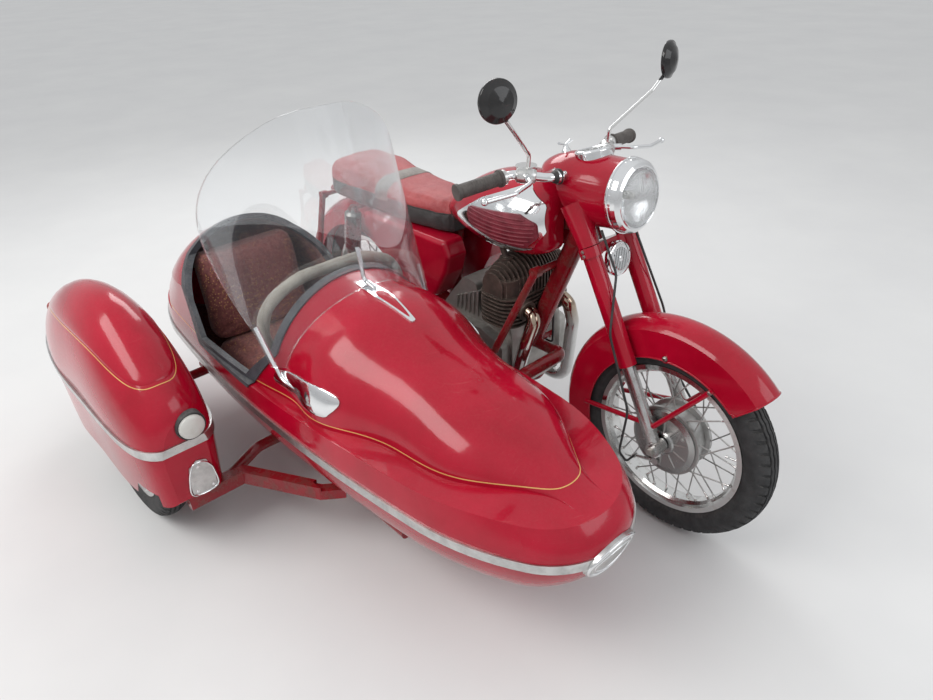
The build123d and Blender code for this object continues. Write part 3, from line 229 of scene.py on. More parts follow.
def build_zone():
    """Mask of a box given by its centre and half size in the object's own coordinates."""
    inputs = {"Centre": (0.0, 0.0, 0.0), "Half": (1.0, 1.0, 1.0)}
    tree, given, made = new_group("zone", inputs, ("Mask",))
    off = vector_maths(tree, "SUBTRACT", own_place(tree), given["Centre"])[0]
    part = vector_maths(tree, "DIVIDE", off, given["Half"])[0]
    size = vector_maths(tree, "ABSOLUTE", part)[0]
    split = node(tree, "ShaderNodeSeparateXYZ", {0: size}).outputs
    most = maths(tree, "MAXIMUM", maths(tree, "MAXIMUM", split[0], split[1]), split[2])
    tree.links.new(maths(tree, "LESS_THAN", most, 1.0), made["Mask"])
    return tree


def build_grain():
    """Creased grain of leather cloth or moulded rubber: its height and a slow change of tone."""
    tree, given, made = new_group("grain", {"Scale": 700.0}, ("Height", "Tone", "Crease"))
    inputs = {"Vector": own_place(tree), "Scale": given["Scale"]}
    cells = node(tree, "ShaderNodeTexVoronoi", inputs, feature="DISTANCE_TO_EDGE").outputs["Distance"]
    fine = noise(tree, 1900.0, 2.0, 0.5)
    tree.links.new(raised(tree, spread(tree, cells, 0.0, 0.22), fine, 0.35), made["Height"])
    tree.links.new(spread(tree, noise(tree, 13.0, 6.0, 0.65), 0.35, 0.68), made["Tone"])
    folds = noise(tree, 1.0, 5.0, 0.6, stretched(tree, (60.0, 14.0, 60.0)))
    tree.links.new(spread(tree, folds, 0.55, 0.72), made["Crease"])
    return tree


def build_flecks():
    """Flecked trim cloth: small gold flecks, darker tufts and a felted height."""
    tree, _, made = new_group("flecks", {}, ("Gold", "Tuft", "Height"))
    cells = node(tree, "ShaderNodeTexVoronoi", {"Vector": own_place(tree), "Scale": 230.0})
    pick = node(tree, "ShaderNodeSeparateXYZ", {0: cells.outputs["Color"]}).outputs[0]
    small = spread(tree, cells.outputs["Distance"], 0.46, 0.30)
    patches = spread(tree, noise(tree, 9.0, 4.0, 0.6), 0.40, 0.60)
    gold = times(tree, maths(tree, "GREATER_THAN", pick, 0.70), small)
    tree.links.new(times(tree, gold, patches), made["Gold"])
    tree.links.new(spread(tree, noise(tree, 90.0, 5.0, 0.7), 0.35, 0.65), made["Tuft"])
    tree.links.new(noise(tree, 1300.0, 3.0, 0.7), made["Height"])
    return tree


def build_weave():
    """Plain woven tape: threads that cross."""
    tree, _, made = new_group("weave", {}, ("Height", "Tone"))
    inputs = {"Vector": own_place(tree), "Scale": 130.0, "Distortion": 0.4}
    height = None
    for axis in ("X", "Y", "Z"):
        threads = node(tree, "ShaderNodeTexWave", inputs, bands_direction=axis).outputs[1]
        height = threads if height is None else maths(tree, "MAXIMUM", height, threads)
    tree.links.new(height, made["Height"])
    tree.links.new(spread(tree, noise(tree, 22.0, 6.0, 0.65), 0.34, 0.68), made["Tone"])
    return tree


weathering = build_weathering()
edge_wear = build_edge_wear()
zone = build_zone()
grain = build_grain()
flecks = build_flecks()
weave = build_weave()

# Finishes


def new_material(name):
    material = bpy.data.materials.new(name)
    material.use_nodes = True
    tree = material.node_tree
    return material, tree, tree.nodes["Principled BSDF"]


def feed(tree, shader, **inputs):
    """Link sockets and set numbers on the shader's inputs, named with underscores for spaces."""
    for key, value in inputs.items():
        socket = shader.inputs[key.replace("_", " ")]
        if isinstance(value, bpy.types.NodeSocket):
            tree.links.new(value, socket)
        else:
            socket.default_value = value


def bumped(tree, height, strength, distance):
    """Normal from a height in metres of the given distance."""
    inputs = {"Height": height, "Strength": strength, "Distance": distance}
    return node(tree, "ShaderNodeBump", inputs).outputs[0]


def zone_mask(tree, centre, half):
    return place(tree, zone, Centre=tuple(centre), Half=tuple(half))["Mask"]


def paint(name, deep, fresh, zones=(), dirt=0.0):
    """Old gloss paint that has faded in blotches; the zones on it are bare chrome."""
    material, tree, shader = new_material(name)
    wear = place(tree, weathering, Scale=1.0)
    colour = mixed(tree, wear["Blotch"], deep, fresh)
    colour = tint(tree, colour, wear["Dust"], 0.012, (0.62, 0.50, 0.46))
    colour = tint(tree, colour, wear["Speck"], 0.14, (0.50, 0.16, 0.14))
    colour = tint(tree, colour, wear["Scratch"], 0.07, (0.60, 0.20, 0.18))
    rough = raised(tree, 0.11, wear["Blotch"], 0.07)
    rough = raised(tree, rough, wear["Dust"], 0.05)
    if dirt:
        mud = spread(tree, noise(tree, 28.0, 6.0, 0.7), 0.45, 0.62, 0.0, dirt)
        colour = mixed(tree, mud, colour, (0.105, 0.055, 0.040))
        rough = raised(tree, rough, mud, 0.5)
    for centre, half in zones:
        mask = zone_mask(tree, centre, half)
        colour = mixed(tree, mask, colour, (0.72, 0.72, 0.71))
        feed(tree, shader, Metallic=mask)
    feed(tree, shader, Coat_Weight=0.30, Coat_Roughness=0.035, Specular_IOR_Level=0.30)
    skin = bumped(tree, raised(tree, wear["Ripple"], wear["Scratch"], -0.25), 0.10, 0.0006)
    feed(tree, shader, Base_Color=colour, Roughness=rough, Normal=skin)
    return material


def chrome(name, colour, rough, spots=0.3, heat=None):
    """Plating with fine wipe marks and rust spots; heat colours it above a height in metres."""
    material, tree, shader = new_material(name)
    wear = place(tree, weathering, Scale=4.0)
    spot = times(tree, wear["Speck"], spots)
    dull = times(tree, spread(tree, noise(tree, 46.0, 7.0, 0.72), 0.56, 0.72), spots)
    tone = mixed(tree, maths(tree, "MAXIMUM", spot, dull), colour, (0.22, 0.13, 0.075))
    if heat:
        height = node(tree, "ShaderNodeSeparateXYZ", {0: own_place(tree)}).outputs[2]
        tone = mixed(tree, spread(tree, height, heat - 0.10, heat, 0.0, 0.75), tone, (0.30, 0.19, 0.10))
    gloss = raised(tree, raised(tree, rough, wear["Blotch"], 0.07), dull, 0.45)
    skin = bumped(tree, wear["Ripple"], 0.05, 0.0005)
    feed(tree, shader, Base_Color=tone, Metallic=1.0, Roughness=gloss, Normal=skin)
    return material


def cast(name, colour, dark, rough, metal, bare=None, zones=(), zone_colour=None):
    """Cast metal: sandy skin, darker blotches, and bright rubbed edges where bare is given."""
    material, tree, shader = new_material(name)
    wear = place(tree, weathering, Scale=5.0)
    tone = mixed(tree, wear["Blotch"], colour, dark)
    tone = tint(tree, tone, wear["Dust"], 0.22, (0.34, 0.29, 0.24))
    if bare:
        worn = place(tree, edge_wear, Radius=0.0022)["Mask"]
        tone = mixed(tree, worn, tone, bare)
    for centre, half in zones:
        tone = mixed(tree, zone_mask(tree, centre, half), tone, zone_colour)
    gloss = raised(tree, rough, wear["Blotch"], 0.18)
    skin = bumped(tree, raised(tree, noise(tree, 900.0, 3.0, 0.6), wear["Ripple"], 0.5), 0.30, 0.0008)
    feed(tree, shader, Base_Color=tone, Metallic=metal, Roughness=gloss, Normal=skin)
    return material


def brushed(name, colour, rough):
    """Aluminium strip with long brush marks, dull patches, dark specks and paler rubbed edges."""
    material, tree, shader = new_material(name)
    wear = place(tree, weathering, Scale=7.0)
    marks = noise(tree, 1.0, 4.0, 0.65, stretched(tree, (12.0, 12.0, 1500.0)))
    edge = place(tree, edge_wear, Radius=0.0015)["Mask"]
    tone = mixed(tree, wear["Blotch"], colour, tuple(c * 0.72 for c in colour))
    tone = tint(tree, tone, edge, 0.35, (0.85, 0.85, 0.83))
    tone = tint(tree, tone, wear["Speck"], 0.5, (0.12, 0.10, 0.08))
    gloss = raised(tree, rough, marks, 0.16)
    skin = bumped(tree, marks, 0.12, 0.0004)
    feed(tree, shader, Base_Color=tone, Metallic=1.0, Roughness=gloss, Normal=skin)
    return material


def rubber(name, colour, rough, scale, dusty):
    """Moulded rubber with fine pores and grey dust where it lies upward."""
    material, tree, shader = new_material(name)
    wear = place(tree, weathering, Scale=6.0)
    skin = place(tree, grain, Scale=scale)
    pale = tuple(min(1.0, c * 1.6 + 0.015) for c in colour)
    tone = mixed(tree, wear["Blotch"], colour, pale)
    tone = tint(tree, tone, wear["Dust"], dusty, (0.30, 0.27, 0.24))
    gloss = spread(tree, skin["Tone"], 0.0, 1.0, rough - 0.08, rough + 0.08)
    feed(tree, shader, Base_Color=tone, Roughness=gloss, Normal=bumped(tree, skin["Height"], 0.35, 0.0004))
    return material


def leather_cloth(name, colour, worn, rough):
    """Coated cloth with a fine grain, soft creases darkened by painted shade, and a lighter tone where it is
    sat on.
    """
    material, tree, shader = new_material(name)
    skin = place(tree, grain, Scale=620.0)
    wear = place(tree, weathering, Scale=2.0)
    tone = mixed(tree, skin["Tone"], colour, worn)
    # painted shade: the creases are tinted toward a darker copy of the cloth's own colour
    tone = tint(tree, tone, skin["Crease"], 0.30, tuple(c * 0.45 for c in colour))
    tone = tint(tree, tone, wear["Dust"], 0.10, (0.60, 0.50, 0.46))
    gloss = spread(tree, wear["Blotch"], 0.0, 1.0, rough - 0.06, rough + 0.10)
    height = raised(tree, skin["Height"], skin["Crease"], -0.8)
    feed(tree, shader, Base_Color=tone, Roughness=gloss, Sheen_Weight=0.08)
    feed(tree, shader, Normal=bumped(tree, height, 0.45, 0.0007))
    return material


def flecked_cloth(name):
    """Dark maroon trim cloth with gold flecks and dust."""
    material, tree, shader = new_material(name)
    trim = place(tree, flecks)
    wear = place(tree, weathering, Scale=2.0)
    tone = mixed(tree, trim["Tuft"], (0.105, 0.022, 0.024), (0.235, 0.070, 0.062))
    tone = tint(tree, tone, trim["Gold"], 0.85, (0.66, 0.38, 0.12))
    tone = tint(tree, tone, wear["Dust"], 0.25, (0.36, 0.22, 0.18))
    gloss = spread(tree, wear["Blotch"], 0.0, 1.0, 0.62, 0.85)
    feed(tree, shader, Base_Color=tone, Roughness=gloss, Sheen_Weight=0.25, Sheen_Roughness=0.5)
    feed(tree, shader, Normal=bumped(tree, trim["Height"], 0.5, 0.0008))
    return material


def woven(name, colour, pale):
    """Woven tape wound over a pad, grey with handling."""
    material, tree, shader = new_material(name)
    threads = place(tree, weave)
    wear = place(tree, weathering, Scale=3.0)
    tone = mixed(tree, threads["Tone"], colour, pale)
    tone = tint(tree, tone, wear["Dust"], 0.35, (0.52, 0.48, 0.42))
    gloss = spread(tree, threads["Tone"], 0.0, 1.0, 0.70, 0.85)
    feed(tree, shader, Base_Color=tone, Roughness=gloss, Sheen_Weight=0.15)
    feed(tree, shader, Normal=bumped(tree, threads["Height"], 0.4, 0.0006))
    return material


def clear(name, colour, alpha, rough=0.02, haze=0.10):
    """Clear sheet or glass: wipe marks catch the light, and its rims are brighter."""
    material, tree, shader = new_material(name)
    wear = place(tree, weathering, Scale=2.0)
    facing = node(tree, "ShaderNodeLayerWeight", {"Blend": 0.35}).outputs["Facing"]
    marks = raised(tree, times(tree, wear["Scratch"], haze), wear["Dust"], haze)
    cover = maths(tree, "ADD", spread(tree, facing, 0.0, 1.0, alpha, min(1.0, alpha + 0.55)), marks)
    tone = mixed(tree, wear["Blotch"], colour, tuple(c * 0.93 for c in colour))
    gloss = spread(tree, wear["Scratch"], 0.0, 1.0, rough, rough + 0.2)
    feed(tree, shader, Base_Color=tone, Roughness=gloss, Alpha=cover, Transmission_Weight=0.9, IOR=1.45)
    return material


def lamp_glass(name, colour, deep, rough, through):
    """Moulded lamp glass, coloured through."""
    material, tree, shader = new_material(name)
    wear = place(tree, weathering, Scale=6.0)
    tone = mixed(tree, wear["Blotch"], colour, deep)
    tone = tint(tree, tone, wear["Dust"], 0.2, (0.6, 0.55, 0.48))
    gloss = spread(tree, wear["Blotch"], 0.0, 1.0, rough, rough + 0.1)
    feed(tree, shader, Base_Color=tone, Roughness=gloss, Transmission_Weight=through, IOR=1.5)
    feed(tree, shader, Normal=bumped(tree, wear["Ripple"], 0.1, 0.0006))
    return material


red_deep = (0.330, 0.0015, 0.0150)
red_fresh = (0.440, 0.0030, 0.0240)
# Boxes where one node's finish changes, by centre and half size in metres: the tank's cap,
# the brake plate between the fork's legs, and the stems of the mirrors
cap_zone = (bike(-542, 0, 925), Vector((0.034, 0.034, 0.0176)))
brake_zone = (bike(0, -44.5, tyre_r), Vector((0.093, 0.0095, 0.093)))
stem_zone = (bike(-360, 0, 1040), Vector((0.080, 0.340, 0.076)))
red_paint = paint("red paint", red_deep, red_fresh)
tank_paint = paint("tank paint and cap", red_deep, red_fresh, [cap_zone])
chassis_paint = paint("chassis paint", (0.20, 0.006, 0.012), (0.30, 0.010, 0.018), dirt=0.55)
gold_line = paint("gold line", (0.62, 0.33, 0.10), (0.78, 0.48, 0.18))
bright_chrome = chrome("bright chrome", (0.80, 0.81, 0.82), 0.05, 0.12)
wheel_chrome = chrome("wheel chrome", (0.66, 0.66, 0.65), 0.12, 0.45)
exhaust_chrome = chrome("exhaust chrome", (0.70, 0.70, 0.69), 0.09, 0.35, heat=0.50)
screw_steel = chrome("screw steel", (0.45, 0.44, 0.42), 0.28, 0.5)
fork_steel = cast("fork steel", (0.62, 0.62, 0.62), (0.42, 0.41, 0.40), 0.14, 1.0,
                  zones=[brake_zone], zone_colour=(0.40, 0.40, 0.395))
hub_alloy = cast("hub alloy", (0.46, 0.46, 0.455), (0.33, 0.325, 0.315), 0.30, 0.9)
engine_alloy = cast("engine alloy", (0.44, 0.43, 0.41), (0.33, 0.32, 0.30), 0.42, 0.8)
fin_iron = cast("fin iron", (0.105, 0.075, 0.062), (0.045, 0.034, 0.029), 0.52, 0.35, bare=(0.42, 0.34, 0.29))
black_steel = cast("black steel", (0.030, 0.030, 0.031), (0.055, 0.048, 0.042), 0.42, 0.3,
                   bare=(0.22, 0.21, 0.20))
shock_steel = cast("shock steel", (0.42, 0.42, 0.42), (0.24, 0.23, 0.22), 0.20, 0.95)
trim_alloy = brushed("trim alloy", (0.66, 0.66, 0.65), 0.24)
tyre_rubber = rubber("tyre rubber", (0.014, 0.014, 0.015), 0.72, 700.0, 0.25)
black_rubber = rubber("black rubber", (0.016, 0.016, 0.017), 0.55, 900.0, 0.20)
coaming_rubber = rubber("coaming rubber", (0.035, 0.040, 0.048), 0.42, 1100.0, 0.30)
grip_rubber = rubber("grip rubber", (0.060, 0.052, 0.048), 0.62, 1000.0, 0.15)
knee_rubber = rubber("knee rubber", (0.150, 0.010, 0.022), 0.50, 1100.0, 0.18)
mirror_black = paint("mirror black", (0.016, 0.016, 0.017), (0.030, 0.029, 0.028), [stem_zone])
seat_cloth = leather_cloth("seat cloth", (0.330, 0.028, 0.034), (0.450, 0.070, 0.072), 0.42)
seat_band = leather_cloth("seat band", (0.020, 0.018, 0.018), (0.045, 0.040, 0.040), 0.50)
strap_cloth = woven("strap cloth", (0.16, 0.14, 0.13), (0.26, 0.24, 0.22))
pad_cloth = woven("pad cloth", (0.27, 0.25, 0.215), (0.40, 0.375, 0.33))
trim_cloth = flecked_cloth("trim cloth")
screen_clear = clear("screen clear", (0.90, 0.95, 1.0), 0.14)
lens_clear = clear("lens clear", (0.96, 0.97, 0.97), 0.32, 0.04, 0.05)
white_glass = lamp_glass("white glass", (0.90, 0.90, 0.86), (0.80, 0.79, 0.73), 0.14, 0.30)
red_glass = lamp_glass("red glass", (0.72, 0.02, 0.012), (0.45, 0.010, 0.008), 0.10, 0.6)
dial_black = cast("dial black", (0.012, 0.012, 0.013), (0.022, 0.022, 0.022), 0.35, 0.0)
dial_white = cast("dial white", (0.75, 0.74, 0.70), (0.62, 0.60, 0.55), 0.5, 0.0)

finishes = [  # finish, nodes that carry it
    (red_paint, ("hull", "wheel_pod", "side_covers", "rear_fender")),
    (red_paint, ("front_fender", "fork_covers", "nacelle")),
    (tank_paint, ("tank",)),
    (chassis_paint, ("frame", "swingarm", "sidecar_frame")),
    (bright_chrome, ("tank_panels", "screen_brackets", "headlamp_ring")),
    (bright_chrome, ("instruments", "handlebar", "levers", "horn")),
    (wheel_chrome, ("front_rim", "rear_rim", "sidecar_rim")),
    (exhaust_chrome, ("exhausts",)),
    (fork_steel, ("fork_sliders",)),
    (hub_alloy, ("front_hub", "rear_hub", "sidecar_hub")),
    (engine_alloy, ("engine",)),
    (fin_iron, ("cylinders",)),
    (black_steel, ("centre_stand",)),
    (shock_steel, ("shocks",)),
    (trim_alloy, ("hull_trim", "nose_badge", "pod_trim", "pod_plate")),
    (tyre_rubber, ("front_tyre", "rear_tyre", "sidecar_tyre")),
    (black_rubber, ("foot_controls", "clutch_cable", "front_cables")),
    (coaming_rubber, ("coaming",)),
    (grip_rubber, ("grips",)),
    (knee_rubber, ("knee_pads",)),
    (mirror_black, ("mirrors",)),
    (seat_cloth, ("seat",)),
    (pad_cloth, ("grab_rail",)),
    (trim_cloth, ("sidecar_cushion", "sidecar_backrest")),
    (screen_clear, ("windscreen",)),
    (lens_clear, ("headlamp_lens",)),
    (white_glass, ("pod_lamp",)),
    (red_glass, ("red_lamps",)),
]
for finish, labels in finishes:
    for label in labels:
        nodes[label].data.materials.clear()
        nodes[label].data.materials.append(finish)

# Mesh helpers


def finish_mesh(name, mesh, material, body, crease):
    """Object from a bmesh: outward faces, smooth shading with sharp creases and its body."""
    bmesh.ops.recalc_face_normals(mesh, faces=mesh.faces)
    data = bpy.data.meshes.new(name)
    mesh.to_mesh(data)
    mesh.free()
    data.shade_smooth()
    data.set_sharp_from_angle(angle=radians(crease))
    data.materials.append(material)
    piece = bpy.data.objects.new(name, data)
    scene.collection.objects.link(piece)
    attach(piece, body)
    return piece


def add_rings(mesh, rings, cyclic=False, capped=True):
    """Closed rings of points joined into a skin, end to end or round in a loop."""
    rows = [[mesh.verts.new(p) for p in ring] for ring in rings]
    count = len(rows[0])
    pairs = list(zip(rows, rows[1:])) + ([(rows[-1], rows[0])] if cyclic else [])
    for a, b in pairs:
        for i in range(count):
            j = (i + 1) % count
            mesh.faces.new((a[i], a[j], b[j], b[i]))
    if capped and not cyclic:
        mesh.faces.new(rows[0])
        mesh.faces.new(list(reversed(rows[-1])))


def cross_axes(direction):
    """Two unit vectors square to a direction and to each other."""
    direction = Vector(direction).normalized()
    helper = Vector((0, 0, 1)) if abs(direction.z) < 0.9 else Vector((1, 0, 0))
    u = direction.cross(helper).normalized()
    return u, direction.cross(u)


def add_turned(mesh, profile, centre, direction, steps):
    """Skin of revolution: profile of (along, radius) in millimetres about a line."""
    direction = Vector(direction).normalized()
    u, v = cross_axes(direction)
    rings = []
    for i in range(steps):
        spoke = u * cos(tau * i / steps) + v * sin(tau * i / steps)
        rings.append([centre + direction * (a / 1000) + spoke * (r / 1000) for a, r in profile])
    add_rings(mesh, rings, cyclic=True)


def add_tube(mesh, points, radius, sides, cyclic=False, flat=1.0):
    """Tube along points in metres, its radius in millimetres or one for each point."""
    count = len(points)
    rings = []
    u = None
    for i, point in enumerate(points):
        before = points[i - 1] if i or cyclic else point
        after = points[(i + 1) % count] if i < count - 1 or cyclic else point
        along = (after - before).normalized()
        u = cross_axes(along)[0] if u is None else (u - along * u.dot(along)).normalized()
        v = along.cross(u)
        r = (radius[i] if isinstance(radius, list) else radius) / 1000
        angles = [tau * k / sides for k in range(sides)]
        rings.append([point + u * r * cos(a) + v * r * flat * sin(a) for a in angles])
    add_rings(mesh, rings, cyclic)


def add_bolt(mesh, point, direction, radius, height, sides=6):
    """Head with a turned-down top, hexagonal unless sides are given, on a washer."""
    washer_r = radius * 1.35
    top_r = radius * 0.82
    washer = [(-1, core), (-1, washer_r), (1.2, washer_r), (1.2, core)]
    head = [(0.8, core), (0.8, radius), (height - 1, radius), (height, top_r), (height, core)]
    add_turned(mesh, washer, point, direction, 20)
    add_turned(mesh, head, point, direction, sides)


def turned_piece(name, profiles, centre, direction, steps, material, body="steering", crease=40.0):
    """Piece turned about a line, from one profile or more of (along, radius) in millimetres."""
    mesh = bmesh.new()
    for profile in profiles:
        add_turned(mesh, profile, centre, direction, steps)
    return finish_mesh(name, mesh, material, body, crease)


def smooth_path(points, steps, cyclic=False):
    """Points joined by a smooth curve through all of them."""
    count = len(points)

    def near(i):
        return points[i % count if cyclic else max(0, min(count - 1, i))]

    path = []
    for i in range(count if cyclic else count - 1):
        p0, p1, p2, p3 = near(i - 1), near(i), near(i + 1), near(i + 2)
        for s in range(steps):
            t = s / steps
            path.append(0.5 * (2 * p1 + (p2 - p0) * t + (2 * p0 - 5 * p1 + 4 * p2 - p3) * t * t
                               + (3 * p1 - p0 - 3 * p2 + p3) * t ** 3))
    if not cyclic:
        path.append(points[-1])
    return path


def search_tree(piece):
    """Search tree over a piece's faces."""
    corners = [v.co for v in piece.data.vertices]
    return BVHTree.FromPolygons(corners, [f.vertices for f in piece.data.polygons])


skins = {}


def skin_of(label):
    """Search tree over a CAD node's faces, made once."""
    if label not in skins:
        skins[label] = search_tree(nodes[label])
    return skins[label]


def drop(label, point, direction):
    """First point of a CAD node's skin along a ray, with its normal against the ray."""
    hit, normal, _, _ = skin_of(label).ray_cast(point, direction)
    if hit is None:
        return None
    return hit, (normal if normal.dot(direction) < 0 else -normal)


def landed(label, points, aim):
    """Where rays from the points meet a CAD node's skin; those that miss it are left out."""
    hits = [drop(label, p, aim) for p in points]
    return [hit[0] for hit in hits if hit]


def add_ribbon(mesh, hits, width, lift, cyclic=False):
    """Thin strip that follows a skin: hits are points with their normals, sizes in millimetres."""
    sunk = 0.0006
    rings = []
    count = len(hits)
    for i, (point, normal) in enumerate(hits):
        before = hits[i - 1][0] if i or cyclic else point
        after = hits[(i + 1) % count][0] if i < count - 1 or cyclic else point
        side = (after - before).cross(normal).normalized() * (width / 2000)
        low = point - normal * sunk
        high = point + normal * (lift / 1000)
        rings.append([low - side, low + side, high + side * 0.9, high - side * 0.9])
    add_rings(mesh, rings, cyclic)


def baked(piece):
    """The piece's mesh as its modifiers leave it."""
    graph = bpy.context.evaluated_depsgraph_get()
    return bpy.data.meshes.new_from_object(piece.evaluated_get(graph))


def soften(piece, cap, foot):
    """Fill a closed soft form out by cloth simulation; metres. Points below the foot's height are
    held, and the others move by at most the cap."""
    remesh = piece.modifiers.new("Remesh", "REMESH")
    remesh.mode = "VOXEL"
    remesh.voxel_size = 0.0075
    remesh.use_smooth_shade = True
    data = baked(piece)
    piece.modifiers.clear()
    piece.data = data
    start = [v.co.copy() for v in data.vertices]
    held = piece.vertex_groups.new(name="held")
    for v in data.vertices:
        if v.co.z < foot:
            held.add([v.index], 1.0, "REPLACE")
    cloth = piece.modifiers.new("Cloth", "CLOTH")
    cloth.settings.quality = 6
    cloth.settings.mass = 0.3
    cloth.settings.tension_stiffness = 12.0
    cloth.settings.compression_stiffness = 12.0
    cloth.settings.bending_stiffness = 0.6
    cloth.settings.use_pressure = True
    cloth.settings.uniform_pressure_force = 4.0
    cloth.settings.effector_weights.gravity = 0.0
    cloth.settings.vertex_group_mass = "held"
    for step in range(1, 21):  # frames in which the form comes to rest
        scene.frame_set(step)
    graph = bpy.context.evaluated_depsgraph_get()
    moved = [v.co.copy() for v in piece.evaluated_get(graph).data.vertices]
    piece.modifiers.clear()
    scene.frame_set(1)
    for v, rest, new in zip(data.vertices, start, moved):
        shift = new - rest
        v.co = rest + shift * min(1.0, cap / max(shift.length, 1e-9))
    divide = piece.modifiers.new("Subdivision", "SUBSURF")
    divide.levels = divide.render_levels = 1
    data = baked(piece)
    piece.modifiers.clear()
    piece.vertex_groups.clear()
    piece.data = data
    data.shade_smooth()


def block_rings(outline, low, high):
    """Rings of a cushion block from an outline in metres: square at the foot, crowned above."""
    centre = sum(outline, Vector()) / len(outline)
    rings = []
    for share, shrink in ((0.0, 0.97), (0.12, 1.0), (0.55, 1.0), (0.82, 0.975), (0.96, 0.90), (1.0, 0.72)):
        z = low + (high - low) * share
        rings.append([Vector((*(centre + (p - centre) * shrink).xy, z)) for p in outline])
    return rings


# Tyres with their tread


def arc_through(a, b, c, steps):
    """Points on the circle through three (across, radius) points, from a to c."""
    (ax, ay), (bx, by), (cx, cy) = a, b, c
    d = 2 * (ax * (by - cy) + bx * (cy - ay) + cx * (ay - by))
    aa, bb, cc = ax * ax + ay * ay, bx * bx + by * by, cx * cx + cy * cy
    ux = (aa * (by - cy) + bb * (cy - ay) + cc * (ay - by)) / d
    uy = (aa * (cx - bx) + bb * (ax - cx) + cc * (bx - ax)) / d
    r = sqrt((ax - ux) ** 2 + (ay - uy) ** 2)
    start, end = atan2(ay - uy, ax - ux), atan2(cy - uy, cx - ux)
    angles = [start + (end - start) * i / steps for i in range(steps + 1)]
    return [(ux + r * cos(a), uy + r * sin(a)) for a in angles]


tread = [  # across, depth of a groove that runs round, depth of the slot between blocks
    (0.0, 0, 0), (4.6, 0, 0), (5.6, 5, 5), (8.4, 5, 5), (9.4, 0, 0), (12.5, 0, 0), (15.6, 0, 0), (16.6, 5, 5),
    (19.4, 5, 5), (20.4, 0, 5), (25.0, 0, 5.5), (30.0, 0, 5.5),
]
slot_phases = [  # place within one lug's pitch, whether it lies in the slot between two lugs
    (0.0, 0), (0.05, 1), (0.25, 1), (0.30, 0), (0.55, 0), (0.80, 0),
]
lug_count = 58
lug_slant = 0.021  # share of a lug's pitch by which its block leans back for each millimetre across
lug_start = 16  # across, where the lean starts
rib_half = 20.0  # across, where the zigzag ribs end
zigzag_reach = 1.5
tread_half = 30.0  # across, from the middle to the shoulder
tread_drop = 9.0  # how much lower the shoulder lies than the crown


def make_tyre(body, x, y):
    """Tyre with zigzag ribs in the middle and slanted blocks on its shoulders."""
    columns = [(a, tyre_r - tread_drop * (a / tread_half) ** 2, ring, cut) for a, ring, cut in tread]
    widest, bead = (41, 252.2), (28.5, 217.5)  # across, radius
    flank = arc_through((tread_half, tyre_r - tread_drop), widest, bead, 12)[1:]
    cuts = [4.5, 3.0, 1.0] + [0] * 9  # the slots' depth down the flank
    rise = [0, 0, 0, 0.3, 0, 0, 0, 0, 0.8, 0.8, 0, 0]  # the moulded lines on the flank
    columns += [(a + lift, r, 0, cut) for (a, r), cut, lift in zip(flank, cuts, rise)]
    columns += [(28.0, 210.0, 0, 0), (27.0, 205.5, 0, 0)]
    columns = [(-a, r, ring, cut) for a, r, ring, cut in reversed(columns[1:])] + columns
    mesh = bmesh.new()
    rings = []
    centre = bike(x, y, tyre_r)
    for lug in range(lug_count):
        for phase, in_slot in slot_phases:
            zigzag = zigzag_reach * (1 - 4 * abs(phase - 0.5))
            ring_points = []
            for a, r, ring, cut in columns:
                slant = lug_slant * max(0.0, abs(a) - lug_start) * (1 if a > 0 else 0.6)
                angle = tau * (lug + phase + slant) / lug_count
                depth = max(ring, cut * in_slot)
                side = a + (zigzag if abs(a) < rib_half else 0.0)
                lift = Vector((cos(angle), 0, sin(angle))) * ((r - depth) / 1000)
                ring_points.append(centre + lift + across * (side / 1000))
            rings.append(ring_points)
    add_rings(mesh, rings, cyclic=True)
    label = body.replace("wheel", "tyre")
    tyre = finish_mesh(f"{label}_tread", mesh, tyre_rubber, body, 28.0)
    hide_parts(label)


def make_nipples(body, x, y):
    """Spoke nipples at the rim, spoke heads at the hub and the tube's valve."""
    spokes = 36
    hub_r, rim_r, valve_r = 91, 190.1, 191
    head_off = 0.004  # from the hub's flange
    nipple = [(-15, core), (-15, 2.5), (-5, 2.9), (-4, 3.6), (1.5, 3.6), (1.5, core)]
    head = [(-1, core), (-1, 2.2), (3, 3.4), (6, 2.4), (6, core)]
    stem = [(2, core), (2, 4.2), (-4, 4.2), (-5, 2.8), (-28, 2.8), (-29, 3.4), (-36, 3.4), (-37, core)]
    mesh = bmesh.new()
    for i in range(spokes):
        side = 31.0 if i % 2 else -31.0
        turn = 24.0 if i % 4 < 2 else -24.0
        rim_angle = tau * i / spokes
        hub_angle = rim_angle + radians(turn)
        inner = bike(x + hub_r * cos(hub_angle), y + side, tyre_r + hub_r * sin(hub_angle))
        outer = bike(x + rim_r * cos(rim_angle), y + side / 6, tyre_r + rim_r * sin(rim_angle))
        along = (outer - inner).normalized()
        add_turned(mesh, nipple, outer, along, 10)
        add_turned(mesh, head, inner + along * head_off, along, 10)
    turn = 0.09  # the valve's place round the rim, between two spokes
    valve = bike(x + valve_r * cos(turn), y, tyre_r + valve_r * sin(turn))
    add_turned(mesh, stem, valve, Vector((cos(turn), 0, sin(turn))), 12)
    finish_mesh(f"{body}_nipples", mesh, wheel_chrome, body, 40.0)


for body, x, y, *_ in wheels:
    make_tyre(body, x, y)
    make_nipples(body, x, y)

# Ribs and bolts of the brake plates, and the bolts of the fork


